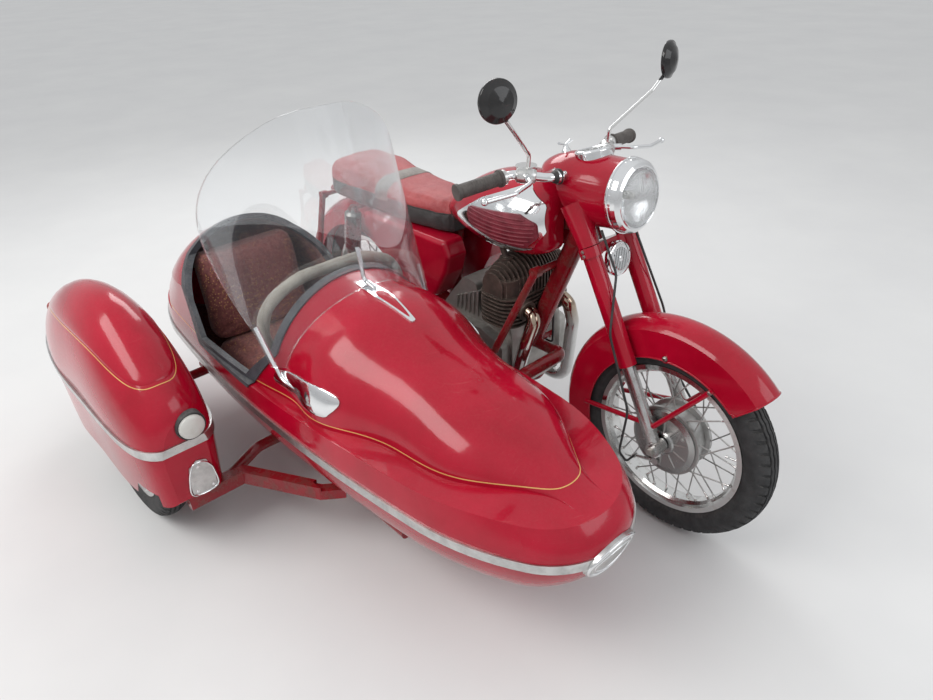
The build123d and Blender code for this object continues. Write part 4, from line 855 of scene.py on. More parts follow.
def dress_plate(name, x, y, side, body):
    """Ribs and bolts on a brake plate's outer face."""
    ribs = 10
    inner_face, outer_face = 47.0, 46.6  # the face's distance from the wheel's centre plane
    inner_r, bolt_r, outer_r = 0.036, 0.068, 0.076
    mesh = bmesh.new()
    out = across * side
    for i in range(ribs):
        angle = tau * (i + 0.5) / ribs
        spoke = Vector((cos(angle), 0, sin(angle)))
        start = bike(x, y + side * inner_face, tyre_r) + spoke * inner_r
        end = bike(x, y + side * outer_face, tyre_r) + spoke * outer_r
        add_tube(mesh, [start, (start + end) / 2 + out * 0.0012, end], [2.6, 2.4, 1.6], 8)
    for angle in (0.6, 2.7, 4.6):
        point = bike(x, y + side * outer_face, tyre_r) + Vector((cos(angle), 0, sin(angle))) * bolt_r
        add_bolt(mesh, point, out, 4.5, 4.0)
    finish_mesh(name, mesh, hub_alloy, body, 35.0)


def make_fork_bolts():
    """Axle nuts, bolts of the front fender and screws high on the fork's legs, on both sides."""
    mesh = bmesh.new()
    for q in (-1, 1):
        out = across * q
        add_bolt(mesh, bike(0, q * 102, tyre_r), out, 10, 8)
        add_bolt(mesh, bike(-20, q * 52, tyre_r + 252), out, 6, 5)
        add_bolt(mesh, bike(112, q * 54.5, tyre_r + 214), out, 5, 5)
        for t in (536, 548):
            add_bolt(mesh, fork(50, q * 104, t), out, 4, 3)
    finish_mesh("fork_bolts", mesh, screw_steel, "steering", 30.0)


for _, x, y, side, ribs, carrier in wheels:
    dress_plate(ribs, x, y, side, carrier)
make_fork_bolts()

# Headlamp: reflector, bulb, fluted glass, beads and the ring's screw

lamp_tilt = radians(5)
lamp_dir = Vector((cos(lamp_tilt), 0, sin(lamp_tilt)))
lamp_up = Vector((-sin(lamp_tilt), 0, cos(lamp_tilt)))
lamp_centre = bike(-206, 0, 905)
bowl = [
    (25.5, 65.4), (18, 60), (10, 47), (5, 31), (2.4, 16), (1.5, 8), (1.0, core), (0.6, core), (0.6, 65.5),
    (25.5, 65.7),
]
bulb = [(1.2, core), (1.2, 9), (5, 9), (6, 6.5), (12, 7.5), (16, 6.0), (18.5, 3.0), (19.4, core)]
turned_piece("headlamp_reflector", [bowl], lamp_centre, lamp_dir, 72, bright_chrome)
turned_piece("headlamp_bulb", [bulb], lamp_centre, lamp_dir, 24, white_glass)


def make_lens():
    """Headlamp glass with a domed face and upright flutes behind it."""
    radii = [11, 21, 31, 41, 50, 57, 63, 68, 72]
    rim_r = radii[-1]
    fluted_r = 65  # the flutes end where the back of the glass turns to the rim
    back_r = 68
    top, rim = 52.0, 36.0  # how far the dome's middle and its rim stand before the lamp's centre
    back_level, back_rim = 30.0, 26.6  # the same for the back of the glass
    flute_depth, flute_pitch = 0.8, 8.0
    steps = 96
    up = lamp_dir.cross(across).normalized()
    mesh = bmesh.new()
    front, back = [], []
    for r in radii:
        front_ring, back_ring = [], []
        for k in range(steps):
            s, u = r * cos(tau * k / steps), r * sin(tau * k / steps)
            dome = top - (top - rim) * (r / rim_r) ** 2.4
            wave = flute_depth * cos(s * tau / flute_pitch) if r < fluted_r else 0.0
            flute = back_level + (dome - rim) * 0.55 + wave
            spot = lamp_centre + (across * s + up * u) / 1000
            front_ring.append(spot + lamp_dir * (dome / 1000))
            back_ring.append(spot + lamp_dir * ((flute if r < back_r else back_rim) / 1000))
        front.append([mesh.verts.new(p) for p in front_ring])
        back.append([mesh.verts.new(p) for p in back_ring])
    for rings in (front, back):
        for a, b in zip(rings, rings[1:]):
            for k in range(steps):
                j = (k + 1) % steps
                mesh.faces.new((a[k], a[j], b[j], b[k]))
        mesh.faces.new(rings[0])
    for k in range(steps):
        j = (k + 1) % steps
        mesh.faces.new((front[-1][k], front[-1][j], back[-1][j], back[-1][k]))
    lens = finish_mesh("headlamp_glass", mesh, lens_clear, "steering", 30.0)
    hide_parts("headlamp_lens")


make_lens()
shell_bead = [(2, 90.6), (2, 92.4), (5, 93.0), (8, 92.4), (8, 90.6)]
glass_bead = [(33, 75.5), (33, 77.6), (37, 76.8), (38.4, 74.6), (37.6, 72.6), (35, 72.2)]
beads = [shell_bead, glass_bead]
turned_piece("headlamp_beads", beads, lamp_centre, lamp_dir, 96, bright_chrome)
screw = [(-2, core), (-2, 9), (5, 9), (7, 7), (7.5, core)]
screw_at = lamp_centre + lamp_dir * 0.014 + lamp_up * 0.0885
turned_piece("headlamp_screw", [screw], screw_at, lamp_up, 24, bright_chrome)

# Dial on the lamp housing

dial_tilt = radians(14)
dial_axis = Vector((-sin(dial_tilt), 0, cos(dial_tilt)))
dial_ahead = Vector((cos(dial_tilt), 0, sin(dial_tilt)))
dial_top = bike(-318, 0, 991)
dial_disc = [(5.6, core), (5.6, 38.5), (6.6, 38.5), (6.6, core)]
bezel = [(2, 41.2), (2, 45.6), (4.5, 46.0), (8.0, 44.0), (9.4, 41.0), (8.4, 38.6), (6.4, 37.6)]
dial_cover = [(6.8, core), (6.8, 38.0), (7.6, 38.0), (9.0, 30), (9.8, core)]


def make_dial_marks():
    """Marks round the dial, every fourth one long, and the hand at its rest."""
    marks = 25
    sweep = 260  # degrees from the first mark to the last, evenly about straight ahead
    rest = -128
    outer_r, short_r, long_r = 0.034, 0.030, 0.026
    hand_tail, hand_tip = 0.006, 0.028
    mark_rise, hand_rise = 0.0068, 0.0078
    mesh = bmesh.new()

    def spoke_at(degrees):
        return across * -sin(radians(degrees)) + dial_ahead * cos(radians(degrees))

    for i in range(marks):
        spoke = spoke_at(sweep * i / (marks - 1) - sweep / 2)
        reach = short_r if i % 4 else long_r
        start = dial_top + dial_axis * mark_rise + spoke * reach
        add_tube(mesh, [start, start + spoke * (outer_r - reach)], 0.45 if i % 4 else 0.7, 6)
    hub = dial_top + dial_axis * hand_rise
    add_tube(mesh, [hub - spoke_at(rest) * hand_tail, hub + spoke_at(rest) * hand_tip], [1.4, 0.5], 8)
    finish_mesh("dial_marks", mesh, dial_white, "steering", 40.0)


turned_piece("dial_face", [dial_disc], dial_top, dial_axis, 72, dial_black)
make_dial_marks()
turned_piece("dial_bezel", [bezel], dial_top, dial_axis, 72, bright_chrome)
turned_piece("dial_glass", [dial_cover], dial_top, dial_axis, 48, lens_clear)

# Knob of the steering damper, behind the dial


def make_damper_knob():
    """Turned knob with two flattened wings."""
    knob = [(-4, core), (-4, 13), (3, 12), (9, 8), (16, 6), (18, core)]
    wing_height, wing_reach, wing_rise = 0.017, 0.022, 0.007
    point, normal = drop("nacelle", bike(-404, 0, 1100), down)
    mesh = bmesh.new()
    add_turned(mesh, knob, point, normal, 28)
    root = point + normal * wing_height
    for s in (-1, 1):
        tip = root + across * (wing_reach * s) + normal * wing_rise
        add_tube(mesh, [root, (root + tip) / 2, tip], [4.0, 4.6, 6.5], 12, flat=0.5)
    finish_mesh("damper_knob", mesh, bright_chrome, "steering", 40.0)


make_damper_knob()

# Horn: dark backing, rim, boss, slats and screws

horn_tilt = radians(12)
horn_dir = Vector((cos(horn_tilt), 0, sin(horn_tilt)))
horn_up = Vector((-sin(horn_tilt), 0, cos(horn_tilt)))
horn_centre = bike(-219, 0, 736)
mouth = [(5.6, core), (5.6, 30.5), (6.6, 30.5), (6.6, core)]
turned_piece("horn_mouth", [mouth], horn_centre, horn_dir, 48, dial_black)


def make_grille():
    """Rim and boss of the horn, upright slats between them, and screws round the rim."""
    rim = [(4.0, 43.5), (6.5, 42.5), (8.0, 38.5), (8.5, 33.0), (7.8, 29.5), (5.2, 28.6), (3.6, 36)]
    boss = [(5.5, core), (5.5, 8.5), (9.0, 8.0), (10.5, 5.0), (10.8, core)]
    mouth_r, slat_pitch, screws = 30.0, 6.6, 6
    slat_rise, screw_rise, screw_r = 0.0078, 0.0072, 0.036
    mesh = bmesh.new()
    add_turned(mesh, rim, horn_centre, horn_dir, 72)
    add_turned(mesh, boss, horn_centre, horn_dir, 32)
    for i in range(-4, 5):
        s = i * slat_pitch
        reach = sqrt(mouth_r ** 2 - s * s)
        middle = horn_centre + across * (s / 1000) + horn_dir * slat_rise
        add_tube(mesh, [middle + horn_up * (k * reach / 1000) for k in (-1, 0, 1)], 1.9, 8)
    for i in range(screws):
        angle = tau * i / screws + 0.3
        spoke = across * cos(angle) + horn_up * sin(angle)
        add_bolt(mesh, horn_centre + horn_dir * screw_rise + spoke * screw_r, horn_dir, 2.4, 2.2, 12)
    finish_mesh("horn_grille", mesh, bright_chrome, "steering", 40.0)


make_grille()

# Grips with rings and collars, lever clamps and the grommets of the bar


def make_grips():
    """Ringed grips, their collars and the clamps of the levers, on both ends of the bar."""
    rings = 15
    first, last = 14, 12  # plain lengths before the first ring and after the last
    collar = [(-13, core), (-13, 15.0), (-10, 18.2), (4, 19.4), (6.4, 18.2), (6.4, core)]
    clamp = [(-20, core), (-20, 13.5), (-17, 16.5), (-4, 19.6), (12, 20.2), (26, 18.4), (30, 14), (30, core)]
    grips, collars, clamps = bmesh.new(), bmesh.new(), bmesh.new()
    for s in (1, -1):
        inner, outer = bike(-427, -212 * s, 953), bike(-455, -336 * s, 941)
        along = (outer - inner).normalized()
        length = (outer - inner).length * 1000
        pitch = (length - first - last) / rings
        profile = [(6.5, core), (6.5, 18.5), (8, 19.8), (10.5, 19.8), (12, 17.2)]
        for i in range(rings):
            a = first + (length - first - last) * i / rings
            profile += [(a, 16.7), (a + pitch * 0.2, 17.4)]
            profile += [(a + pitch * 0.75, 17.4), (a + pitch * 0.95, 16.7)]
        profile += [(length - 10, 17.2), (length - 8, 20.2), (length - 2, 20.2)]
        profile += [(length + 0.6, 17.5), (length + 0.6, core)]
        add_turned(grips, profile, inner, along, 40)
        add_turned(collars, collar, inner, along, 36)
        perch = bike(-392.5, -154.6 * s, 952.1)
        run_from, run_to = Vector((-352, -118 * s, 946)), Vector((-419.5, -179 * s, 956.2))  # the bar's run
        add_turned(clamps, clamp, perch, (run_to - run_from).normalized(), 28)
        add_bolt(clamps, perch + Vector((0.004, 0, 0.0185)), -down, 4.0, 3.4)
    finish_mesh("grip_rings", grips, grip_rubber, "steering", 32.0)
    finish_mesh("grip_collars", collars, trim_alloy, "steering", 35.0)
    finish_mesh("lever_clamps", clamps, trim_alloy, "steering", 35.0)


def make_grommets():
    """Rubber sleeves where the bar leaves the lamp housing."""
    sleeve = [(-9, core), (-9, 19), (-4, 20), (2, 17), (9, 14.5), (14, 12.2), (14, core)]
    mesh = bmesh.new()
    for s in (1, -1):
        start, end = bike(-349.7, -98 * s, 945), bike(-352, -112 * s, 946)
        add_turned(mesh, sleeve, start, (end - start).normalized(), 32)
    finish_mesh("bar_grommets", mesh, black_rubber, "steering", 35.0)


make_grips()
make_grommets()

# Mirrors: black rims, and glass on the rider's side


def make_mirrors():
    """Rim and glass in each mirror's shell, on the shell's own axis."""
    rim = [(-7.5, 42.5), (-7.5, 46.2), (-5, 47.3), (0, 47.3), (2.5, 46.2), (2.5, 45.0), (-6, 42.5)]
    glass = [(-6.6, core), (-6.6, 43.5), (-5.6, 43.5), (-5.6, core)]
    rims, glasses = bmesh.new(), bmesh.new()
    for s in (1, -1):
        centre = bike(-330, -314 * s, 1163)
        out = Vector((1, -0.25 * s, 0.05)).normalized()
        add_turned(rims, rim, centre, out, 72)
        add_turned(glasses, glass, centre, out, 72)
    finish_mesh("mirror_rims", rims, mirror_black, "steering", 40.0)
    finish_mesh("mirror_glass", glasses, bright_chrome, "steering", 40.0)


make_mirrors()

# Saddle of the motorcycle: red top, dark band, piping and strap

seat_sections = [  # x, half width, top
    (-787.0, 66.0, 744.0), (-800.0, 82.0, 752.0), (-850.0, 96.0, 763.0), (-960.0, 111.0, 766.0),
    (-1100.0, 115.0, 776.0), (-1230.0, 117.0, 799.0), (-1350.0, 113.0, 802.0), (-1400.0, 100.0, 792.0),
    (-1418.0, 84.0, 776.0),
]
seat_low = 671.0
band_top = 727.0  # height of the piping, where the band meets the top


def seat_row(half, top):
    """Cross-section of the saddle before it is filled out: flat foot, upright band, crowned top."""
    room = 4.0  # left for the filling out
    w, t = half - room, top - room
    side = [
        (0.6, seat_low), (0.93, seat_low + 1), (1.0, seat_low + 14), (1.0, t - 42), (0.985, t - 28),
        (0.93, t - 14), (0.78, t - 5), (0.5, t - 1),
    ]
    return [(-w * share, z) for share, z in side] + [(0, t)] + [(w * share, z) for share, z in reversed(side)]


def seat_between(x):
    """Half width and top of the saddle at a distance behind the front axle."""
    for (x0, h0, t0), (x1, h1, t1) in zip(seat_sections, seat_sections[1:]):
        if x1 <= x <= x0:
            share = (x0 - x) / (x0 - x1)
            share = share * share * (3 - 2 * share)
            return h0 + (h1 - h0) * share, t0 + (t1 - t0) * share
    return seat_sections[-1][1:]


def make_saddle():
    """Filled saddle, pinched along its piping, with its band in the second finish."""
    sections = 44
    pinch_depth, pinch_reach = 0.0022, 0.006
    front, rear = seat_sections[0][0], seat_sections[-1][0]
    stations = [front + (rear - front) * i / sections for i in range(sections + 1)]
    mesh = bmesh.new()
    add_rings(mesh, [[bike(x, y, z) for y, z in seat_row(*seat_between(x))] for x in stations])
    saddle = finish_mesh("saddle", mesh, seat_cloth, "chassis", 60.0)
    soften(saddle, cap=0.006, foot=0.676)
    pinch = band_top / 1000
    for v in saddle.data.vertices:
        off = abs(v.co.z - pinch)
        if off < pinch_reach:
            centre = Vector((v.co.x, front_axle.y / 1000, v.co.z))
            v.co += (centre - v.co).normalized() * (pinch_depth * (1 - off / pinch_reach))
    saddle.data.materials.append(seat_band)
    for face in saddle.data.polygons:
        face.material_index = 1 if face.center.z < pinch else 0
    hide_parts("seat")
    return saddle


def make_piping(tree):
    """Cord round the saddle in its pinch."""
    front, rear, steps = -792, -1414, 60
    loop = []
    for side in (-1, 1):
        row = []
        for i in range(steps + 1):
            x = front + (rear - front) * i / steps
            hit = tree.ray_cast(bike(x, 300 * side, band_top), across * -side)[0]
            if hit:
                row.append(hit + across * (side * 0.0002))
        loop += row if side < 0 else row[::-1]
    mesh = bmesh.new()
    add_tube(mesh, loop, 2.0, 8, cyclic=True)
    finish_mesh("saddle_piping", mesh, seat_band, "chassis", 60.0)


def make_strap(tree):
    """Strap laid over the saddle from one side to the other, with thin edges."""
    middle, reach, steps = bike(-1096, 0, 718), 0.35, 40
    sunk_edge, sunk, thickness = 0.0008, 0.0032, 0.005
    places = ((-1128, sunk_edge), (-1124, sunk), (-1096, sunk), (-1068, sunk), (-1064, sunk_edge))
    rings = []
    for i in range(steps + 1):
        angle = pi * i / steps
        aim = Vector((0, -cos(angle), -sin(angle) * 0.9)).normalized()
        outer = []
        for x, inset in places:
            hit = tree.ray_cast(bike(x, 0, 718) - aim * reach, aim)[0]
            outer.append(hit - aim * inset)
        inner = [p + (middle - p).normalized() * thickness for p in reversed(outer)]
        rings.append(outer + inner)
    mesh = bmesh.new()
    add_rings(mesh, rings)
    finish_mesh("saddle_strap", mesh, strap_cloth, "chassis", 50.0)


saddle_tree = search_tree(make_saddle())
make_piping(saddle_tree)
make_strap(saddle_tree)

# Sidecar seat: cushion and backrest


def rounded_outline(x0, x1, half, corner, steps=8):
    """Rounded rectangle in the plan view of the sidecar, in metres."""
    points = []
    wide = half - corner
    for cx, cy, start in ((x0 - corner, wide, 0), (x1 + corner, wide, 90),
                          (x1 + corner, -wide, 180), (x0 - corner, -wide, 270)):
        for i in range(steps + 1):
            angle = radians(start + 90 * i / steps)
            points.append(bike(cx + corner * cos(angle), hull_y + cy + corner * sin(angle), 0))
    return points


def make_cushion():
    """Block of the cushion, filled out over its held foot."""
    front, rear, half, corner = -934, -1318, 178, 44
    foot, top = 0.2195, 0.342
    mesh = bmesh.new()
    add_rings(mesh, block_rings(rounded_outline(front, rear, half, corner), foot, top))
    cushion = finish_mesh("cushion_pad", mesh, trim_cloth, "chassis", 60.0)
    soften(cushion, cap=0.010, foot=0.224)
    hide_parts("sidecar_cushion")


def make_backrest():
    """Leaning pad with full corners, drawn in at its foot and head."""
    front, rear = (-1238, -1300), (-1346, -1366)  # x at the foot and at the head
    foot, height, half, corners = 356, 276, 176, 32
    levels = [(0.0, 0.93), (0.06, 0.98), (0.2, 1.0), (0.5, 1.0), (0.8, 1.0), (0.94, 0.96), (1.0, 0.86)]
    rings = []
    for share, squeeze in levels:
        front_x = front[0] + (front[1] - front[0]) * share
        rear_x = rear[0] + (rear[1] - rear[0]) * share
        middle, depth = (front_x + rear_x) / 2, (front_x - rear_x) / 2 * squeeze
        ring = []
        for i in range(corners):
            c, s = cos(tau * i / corners), sin(tau * i / corners)
            x = middle + depth * abs(c) ** 0.5 * (1 if c > 0 else -1)
            y = hull_y + half * squeeze * abs(s) ** 0.4 * (1 if s > 0 else -1)
            ring.append(bike(x, y, foot + height * share))
        rings.append(ring)
    mesh = bmesh.new()
    add_rings(mesh, rings)
    backrest = finish_mesh("backrest_pad", mesh, trim_cloth, "chassis", 60.0)
    soften(backrest, cap=0.008, foot=0.358)
    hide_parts("sidecar_backrest")


make_cushion()
make_backrest()

# Trim cloth inside the sidecar's body


def make_lining():
    """Lining on the body's inner walls, left open over the cockpit."""
    front, rear, middle_z = -70, -1690, 330
    sections, turns = 150, 110
    longest, widest = 0.42, 0.05  # reach from the middle to a wall, and across one face, in metres
    gap, thickness = 0.0018, 0.0012
    mesh = bmesh.new()
    rows = []
    for i in range(sections):
        centre = bike(rear + (front - rear) * i / (sections - 1), hull_y, middle_z)
        row = []
        for k in range(turns):
            aim = Vector((0, cos(tau * k / turns), sin(tau * k / turns)))
            hit, normal, _, reach = skin_of("hull").ray_cast(centre, aim)
            good = hit is not None and abs(normal.dot(aim)) > 0.25 and reach < longest
            row.append(mesh.verts.new(hit - aim * gap) if good else None)
        rows.append(row)
    for a, b in zip(rows, rows[1:]):
        for k in range(turns):
            j = (k + 1) % turns
            corners = (a[k], a[j], b[j], b[k])
            if not all(corners):
                continue
            spans = [(corners[n].co - corners[n + 2].co).length for n in (0, 1)]
            if max(spans) < widest:
                mesh.faces.new(corners)
    for v in [v for v in mesh.verts if not v.link_faces]:
        mesh.verts.remove(v)
    lining = finish_mesh("cockpit_lining", mesh, trim_cloth, "chassis", 60.0)
    thick = lining.modifiers.new("Solidify", "SOLIDIFY")
    thick.thickness = thickness
    thick.offset = 0.0


make_lining()

# Padded rail across the cockpit

rail_x = -796
rail_half = [(-240, 404), (-209, 420), (-204, 500), (-222, 578), (-208, 638), (-164, 676), (-90, 700)]
rail_points = [bike(rail_x, hull_y + y, z) for y, z in rail_half] + [bike(rail_x, hull_y, 702)]
rail_points += [bike(rail_x, hull_y - y, z) for y, z in reversed(rail_half)]
rail_path = smooth_path(rail_points, 10)


def make_rail_pad():
    """Wound pad on the rail, a little uneven along its length, and its seam behind."""
    radii = [16.4 + 0.6 * sin(i * 0.55) + 0.35 * sin(i * 1.9) for i in range(len(rail_path))]
    mesh = bmesh.new()
    add_tube(mesh, rail_path, radii, 24)
    rail_pad = finish_mesh("rail_pad", mesh, pad_cloth, "chassis", 60.0)
    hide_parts("grab_rail")
    behind = Vector((-0.0162, 0, 0.001))
    mesh = bmesh.new()
    add_tube(mesh, [p + behind for p in rail_path[6:-6]], 1.3, 8)
    finish_mesh("rail_seam", mesh, strap_cloth, "chassis", 60.0)


make_rail_pad()

# Rolled beads along the edges of the two fenders


def make_bead(name, x, radius, half, edge_r, start, end, crown, body):
    """Closed bead round a fender's two side edges and its two ends; angles in degrees."""
    side_r = radius - crown
    inset = 12  # of the straight stretches from the corners of each end

    def spot(y, r, angle):
        return bike(x + r * cos(radians(angle)), y, tyre_r + r * sin(radians(angle)))

    def end_row(angle):
        arch = arc_through((-half, side_r), (0, radius - 1), (half, side_r), 16)
        up = [spot(-half, r, angle) for r in (edge_r + inset, side_r - inset)]
        low = [spot(half, r, angle) for r in (side_r - inset, edge_r + inset)]
        return up + [spot(y, r, angle) for y, r in arch] + low

    count = 60
    along = [start + (end - start) * i / count for i in range(1, count)]
    loop = end_row(start) + [spot(half, edge_r, a) for a in along] + end_row(end)[::-1]
    loop += [spot(-half, edge_r, a) for a in reversed(along)]
    mesh = bmesh.new()
    add_tube(mesh, loop, 2.6, 8, cyclic=True)
    finish_mesh(name, mesh, red_paint, body, 60.0)


make_bead("front_fender_bead", 0, 346, 50, 246, 44.3, 191.7, 26, "steering")
make_bead("rear_fender_bead", -wheelbase, 360, 80, 272, 36.3, 187.7, 34, "chassis")

# Gold lines round the body's hump and on the pod's crest

hump_foot = [  # x, height of the hump's foot
    (-60.0, 464.0), (-220.0, 460.0), (-420.0, 456.0), (-620.0, 450.0), (-800.0, 444.0), (-1050.0, 440.0),
    (-1300.0, 438.0), (-1480.0, 430.0), (-1600.0, 418.0),
]
line_rise = 11.0  # height of the gold line over the hump's foot
line_width, line_lift = 2.6, 0.5


def make_gold_line(name, hits, cyclic=False):
    """Painted line through points of a skin; rays that missed are left out."""
    mesh = bmesh.new()
    add_ribbon(mesh, [hit for hit in hits if hit], line_width, line_lift, cyclic)
    finish_mesh(name, mesh, gold_line, "chassis", 50.0)


def make_hump_line(label, side):
    """Gold line along one side of the hump, from the middle of its nose to the middle of its tail."""
    reach = 0.4
    quarter = range(0, 91, 2)
    nose, tail = (bike(x, hull_y, z + line_rise) for x, z in (hump_foot[0], hump_foot[-1]))
    places = [(nose, Vector((-cos(radians(a)), -side * sin(radians(a)), 0))) for a in quarter]
    for spot in smooth_path([Vector((x, 0, z)) for x, z in hump_foot], 12)[1:]:
        places.append((bike(spot.x, hull_y, spot.z + line_rise), across * -side))
    places += [(tail, Vector((sin(radians(a)), -side * cos(radians(a)), 0))) for a in quarter[1:]]
    make_gold_line(f"hump_line_{label}", [drop("hull", centre - aim * reach, aim) for centre, aim in places])


crest = [(-846, 0), (-858, 40), (-905, 68), (-1000, 86), (-1150, 94), (-1350, 88), (-1550, 62), (-1690, 30)]
crest_points = [bike(x, pod_y + y, above) for x, y in crest]
crest_points += [bike(x, pod_y - y, above) for x, y in reversed(crest[1:])]
crest_loop = smooth_path(crest_points, 14, cyclic=True)

make_hump_line("left", 1)
make_hump_line("right", -1)
make_gold_line("crest_line", [drop("wheel_pod", p, down) for p in crest_loop], cyclic=True)

# Low panels that lie on a skin: the pod's crest, the inset and the shoes of the screen's brackets


def draped(label, loop, middle, aim, levels, upright=False):
    """Rings on a node's skin: the loop drawn in to its middle by each level's share, and lifted by
    the level's millimetres along the skin's normal, or straight against the aim."""
    rings = []
    for share, lift in levels:
        ring = []
        for p in loop:
            hit, normal = drop(label, middle + (p - middle) * share, aim)
            ring.append(hit + (-aim if upright else normal) * (lift / 1000))
        rings.append(ring)
    return rings


def make_crest():
    """Low raised panel inside the crest's gold line."""
    flat = 2.6
    levels = [(0.985, -0.8), (0.975, 1.6), (0.95, 2.4)]
    levels += [(share, flat) for share in (0.85, 0.7, 0.5, 0.3, 0.12)]
    sunk = Vector((0, 0, -0.002))
    top = draped("wheel_pod", crest_loop, bike(-1230, pod_y, above), down, levels)
    foot = []
    for ring in reversed(top):
        foot.append([drop("wheel_pod", Vector((*p.xy, above / 1000)), down)[0] + sunk for p in ring])
    mesh = bmesh.new()
    add_rings(mesh, foot + top)
    finish_mesh("pod_crest", mesh, red_paint, "chassis", 50.0)


def make_inset():
    """Red inset in the foot of the screen's middle bracket."""
    half = [(-578, 0), (-572, 9), (-556, 13), (-530, 12.5), (-500, 9.5), (-474, 6), (-456, 2.5), (-452, 0)]
    points = [bike(x, hull_y + y, above) for x, y in half]
    points += [bike(x, hull_y - y, above) for x, y in half[-2:0:-1]]
    levels = [(1.0, -0.5), (1.0, 0.4), (0.9, 0.9), (0.6, 1.1), (0.3, 1.2), (0.08, 1.2)]
    loop = smooth_path(points, 6, cyclic=True)
    mesh = bmesh.new()
    add_rings(mesh, draped("screen_brackets", loop, bike(-525, hull_y, above), down, levels, upright=True))
    finish_mesh("bracket_inset", mesh, red_paint, "chassis", 50.0)


def make_shoe(label, side):
    """Low domed shoe of a side bracket, lying on the body's side."""
    outline = [  # x, z in the side view
        (-718, 492), (-698, 524), (-602, 542), (-525, 552), (-472, 547), (-451, 532), (-472, 502),
        (-500, 485), (-600, 478), (-668, 483),
    ]
    levels = [(1.0, 0.2), (1.0, 3.8), (0.94, 5.4), (0.78, 6.6), (0.5, 7.4), (0.25, 7.8), (0.05, 8.0)]
    y = hull_y + side * 400
    loop = smooth_path([bike(x, y, z) for x, z in outline], 8, cyclic=True)
    mesh = bmesh.new()
    add_rings(mesh, draped("hull", loop, bike(-575, y, 520), across * -side, levels))
    finish_mesh(f"bracket_shoe_{label}", mesh, bright_chrome, "chassis", 50.0)


make_crest()

# Pod lamp in its gasket, and the frame and screws of the pod's plate

pod_lamp_at = bike(-800, -972, 420)
gasket = [
    (-32, core), (-32, 39.5), (12, 39.5), (17, 38.6), (19, 36.5), (18, 34.6), (8, 34.4), (8, core),
]


def make_pod_glass():
    """Domed glass of the pod's lamp with stepped rings."""
    steps, first_r, sphere_r, foot, rise = 12, 33.5, 34.5, 18, 13
    profile = [(6, core), (6, 34.2), (foot, 34.2)]
    for i in range(steps):
        r = first_r * (1 - i / steps)
        height = foot + rise * sqrt(1 - (r / sphere_r) ** 2)
        profile += [(height, r), (height + 0.55, r - 1.3)]
    profile.append((31.5, core))
    glass = turned_piece("pod_lamp_glass", [profile], pod_lamp_at, ahead, 64,
                         white_glass, "chassis", 30.0)
    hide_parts("pod_lamp")


def make_plate_frame():
    """Bright frame just inside the plate's edge, and three screws."""
    outline = [  # y, z in the front view
        (-1012, 206), (-946, 206), (-944, 262), (-952, 288), (-966, 304), (-984, 309), (-1000, 300),
        (-1010, 282), (-1014, 256),
    ]
    middle_y, middle_z, narrower, lower = -980, 257, 0.985, 0.93
    before = -700  # an x before the plate, from which its face is looked for
    screws = [(-984, 292), (-1000, 218), (-956, 218)]
    inner = []
    for y, z in outline:
        inner.append(bike(before, middle_y + (y - middle_y) * narrower, middle_z + (z - middle_z) * lower))
    loop = landed("pod_plate", inner, -ahead)
    mesh = bmesh.new()
    add_tube(mesh, smooth_path(loop, 5, cyclic=True), 3.4, 10, cyclic=True, flat=0.8)
    for point in landed("pod_plate", [bike(before, y, z) for y, z in screws], -ahead):
        add_bolt(mesh, point, ahead, 3.2, 2.0, 16)
    finish_mesh("pod_plate_frame", mesh, bright_chrome, "chassis", 40.0)


turned_piece("pod_lamp_gasket", [gasket], pod_lamp_at, ahead, 64, black_rubber, "chassis")
make_pod_glass()
make_plate_frame()

# Inset and shoes of the screen's brackets

make_inset()
make_shoe("left", 1)
make_shoe("right", -1)

# Oval nose badge: a raised rim, an inner bead and a plain field


def make_badge_rim():
    """Raised rim of the badge and a thinner bead inside it."""
    half_wide, half_high, middle_z, steps = 71, 43, 352, 72
    mesh = bmesh.new()
    for grow, size in ((0.0, 4.2), (-15.0, 1.8)):
        oval = []
        for k in range(steps):
            y = hull_y + (half_wide + grow) * cos(tau * k / steps)
            z = middle_z + (half_high + grow * 0.85) * sin(tau * k / steps)
            oval.append(bike(500, y, z))
        add_tube(mesh, landed("nose_badge", oval, -ahead), size, 10, cyclic=True)
    finish_mesh("nose_badge_rim", mesh, bright_chrome, "chassis", 40.0)


make_badge_rim()

# Ribs of the tank's knee pads

pad_outline = [(-648, 812), (-632, 766), (-520, 740), (-430, 742), (-398, 776), (-402, 812), (-450, 832)]


def inside(outline, x, z):
    """Whether a point of the side view lies in an outline."""
    odd = False
    for (x0, z0), (x1, z1) in zip(outline, outline[1:] + outline[:1]):
        if (z0 > z) != (z1 > z) and x < (x1 - x0) * (z - z0) / (z1 - z0) + x0:
            odd = not odd
    return odd


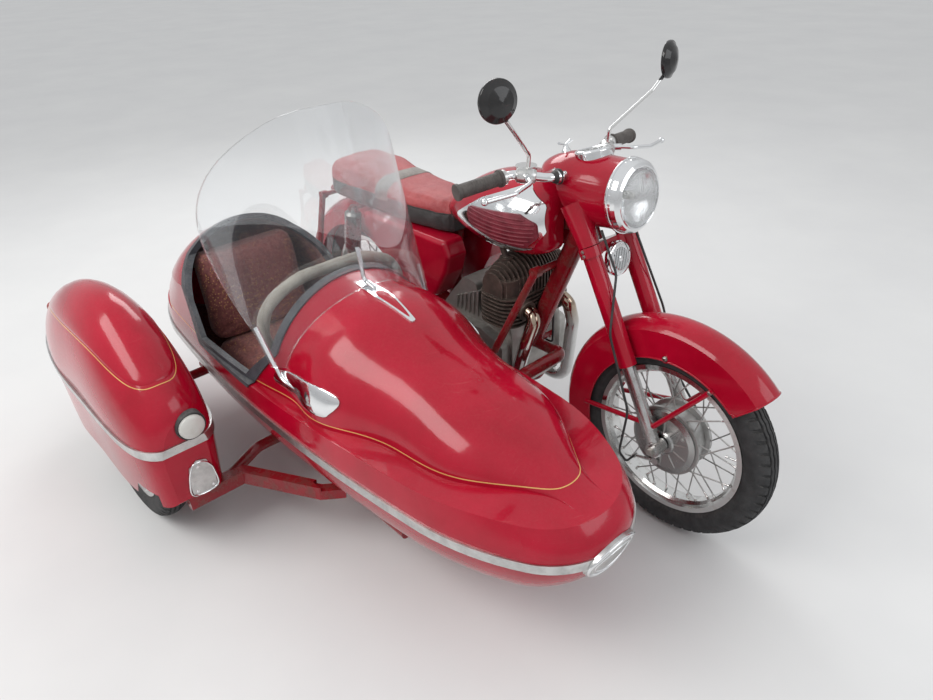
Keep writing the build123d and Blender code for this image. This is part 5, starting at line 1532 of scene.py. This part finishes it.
def make_knee_ribs():
    """Ribs along both knee pads, bowed down in the middle and ending inside the pad's outline."""
    ribs, pitch, top = 7, 11.5, 822
    rear, front, steps = -648, -400, 40
    bow, end_room, side_room = 6, 4, 3
    mesh = bmesh.new()
    for side in (-1, 1):
        for i in range(ribs):
            points = []
            for k in range(steps + 1):
                x = rear + (front - rear) * k / steps
                z = top - pitch * i - bow * sin(pi * k / steps)
                around = ((x - end_room, z), (x + end_room, z), (x, z + side_room))
                if not all(inside(pad_outline, *p) for p in around):
                    continue
                hit = drop("knee_pads", bike(x, side * 300, z), across * -side)
                if hit:
                    points.append(hit[0] + hit[1] * 0.0004)
            if len(points) > 3:
                add_tube(mesh, points, 2.6, 8)
    finish_mesh("knee_pad_ribs", mesh, knee_rubber, "chassis", 50.0)


make_knee_ribs()

# Floor, world and lamps


def build_floor():
    """Wide pale floor."""
    mesh = bmesh.new()
    bmesh.ops.create_grid(mesh, x_segments=2, y_segments=2, size=40)
    data = bpy.data.meshes.new("floor")
    mesh.to_mesh(data)
    mesh.free()
    floor = bpy.data.objects.new("floor", data)
    scene.collection.objects.link(floor)
    material, tree, shader = new_material("studio floor")
    clouds = spread(tree, noise(tree, 1.5, 4.0, 0.6), 0.3, 0.7)
    tone = mixed(tree, clouds, (0.70, 0.70, 0.70), (0.74, 0.74, 0.735))
    feed(tree, shader, Base_Color=tone, Roughness=0.85, Specular_IOR_Level=0.2)
    data.materials.append(material)


def build_world():
    """Even pale surroundings, a little brighter above."""
    world = bpy.data.worlds.new("studio")
    scene.world = world
    world.use_nodes = True
    tree = world.node_tree
    back = tree.nodes["Background"]
    where = node(tree, "ShaderNodeTexCoord").outputs["Generated"]
    height = node(tree, "ShaderNodeSeparateXYZ", {0: where}).outputs[2]
    sky = mixed(tree, spread(tree, height, -0.05, 0.75), (0.62, 0.62, 0.63), (0.97, 0.985, 1.0))
    tree.links.new(sky, back.inputs["Color"])
    back.inputs["Strength"].default_value = 0.80


def add_lamp(name, place_at, target, size, power, colour=(1, 1, 1)):
    data = bpy.data.lights.new(name, "AREA")
    data.shape = "RECTANGLE"
    data.size, data.size_y = size
    data.energy = power
    data.color = colour
    lamp = bpy.data.objects.new(name, data)
    lamp.location = place_at
    lamp.rotation_euler = (Vector(target) - Vector(place_at)).to_track_quat("-Z", "Y").to_euler()
    scene.collection.objects.link(lamp)


build_floor()
build_world()
add_lamp("key", (-0.6, -2.6, 3.4), (0.0, 0.0, 0.4), (3.2, 1.6), 85, (1.0, 0.985, 0.96))
add_lamp("fill", (3.4, 1.2, 2.2), (0.2, 0.0, 0.4), (2.4, 1.6), 22, (0.95, 0.97, 1.0))
add_lamp("rim", (-2.6, 1.6, 2.6), (0.0, 0.0, 0.5), (2.0, 1.2), 30)
